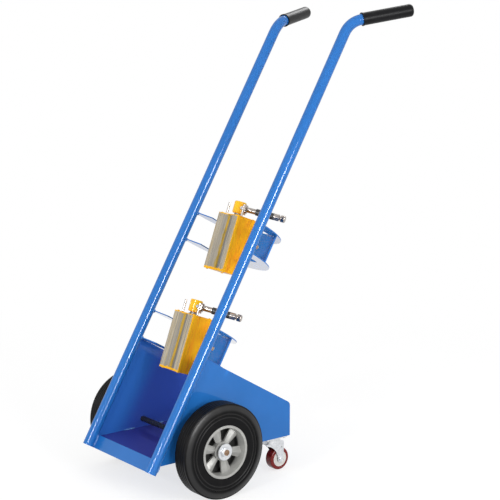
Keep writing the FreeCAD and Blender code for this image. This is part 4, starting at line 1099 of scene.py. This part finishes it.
def make_world():
    """White background, and a lower even light on diffuse surfaces."""
    world = bpy.data.worlds.new("studio")
    world.use_nodes = True
    tree = world.node_tree
    tree.nodes.clear()
    shades = []
    for strength in (WORLD_LIGHT, 1.0):
        shade = tree.nodes.new("ShaderNodeBackground")
        shade.inputs["Color"].default_value = WHITE
        shade.inputs["Strength"].default_value = strength
        shades.append(shade.outputs[0])
    mix = tree.nodes.new("ShaderNodeMixShader")
    tree.links.new(seen_rays(tree), mix.inputs[0])
    tree.links.new(shades[0], mix.inputs[1])
    tree.links.new(shades[1], mix.inputs[2])
    output = tree.nodes.new("ShaderNodeOutputWorld")
    tree.links.new(mix.outputs[0], output.inputs["Surface"])
    bpy.context.scene.world = world


TRUCK_MIDDLE = (0, 0, 0.6)
ALONG_RAILS = (0, sin(LEAN), cos(LEAN))


def softbox(name, place, size, watts, target=TRUCK_MIDDLE, upward=ALONG_RAILS,
            diffuse=True, glossy=True):
    """Area light at a place, aimed at a target; its size is its width, and its height along upward."""
    light = bpy.data.lights.new(name, "AREA")
    light.shape = "RECTANGLE"
    light.size, light.size_y = size
    light.energy = watts
    lamp = bpy.data.objects.new(name, light)
    away = (Vector(place) - Vector(target)).normalized()
    across = Vector(upward).cross(away).normalized()
    lamp.matrix_world = axes(Vector(place), across, away.cross(across), away)
    lamp.visible_camera = False
    lamp.visible_diffuse = diffuse
    lamp.visible_glossy = glossy
    bpy.context.scene.collection.objects.link(lamp)
    return lamp


def make_lights():
    """Lamps on the right side, a small one in front, and one behind for the upper edges."""
    softbox("side_strip", place=(3.0, -0.36, 1.2), size=(0.8, 1.3), watts=62, diffuse=False)
    softbox("side_fill", place=(3.0, -0.33, 1.25), size=(1.0, 1.3), watts=35, glossy=False)
    glint = softbox("rail_glint", place=(3.0, -0.36, 1.03), size=(0.7, 1.5), watts=72, diffuse=False)
    # That tall lamp only draws the long highlights on the two rails.
    rails = bpy.data.collections.new("rails")
    for side, _ in SIDES:
        rails.objects.link(NODES[side + "_rail"])
    glint.light_linking.receiver_collection = rails
    softbox("front_box", place=(1.15, -3.0, 1.55), size=(0.35, 0.30), watts=26)
    softbox("back_box", place=(-1.12, 2.52, 3.11), size=(1.2, 1.2), watts=32,
            target=(-0.2, 0.35, 1.25), upward=(0, 0, 1), diffuse=False)


CAMERA_PLACE = Vector((2.8261, -2.19308, 1.1917))
CAMERA_TARGET = Vector((0, 0.02927, 0.60164))
CAMERA_LENS = 93.78
CAMERA_SENSOR = 36.0


def make_camera():
    """Camera at the photo's view."""
    data = bpy.data.cameras.new("camera")
    data.lens = CAMERA_LENS
    data.sensor_width = CAMERA_SENSOR
    camera = bpy.data.objects.new("camera", data)
    camera.location = CAMERA_PLACE
    camera.rotation_euler = (CAMERA_TARGET - CAMERA_PLACE).to_track_quat("-Z", "Y").to_euler()
    bpy.context.scene.collection.objects.link(camera)
    bpy.context.scene.camera = camera


dress_nodes()
details()
make_floor()
make_world()
make_lights()
make_camera()
bpy.context.scene.view_settings.view_transform = "Standard"
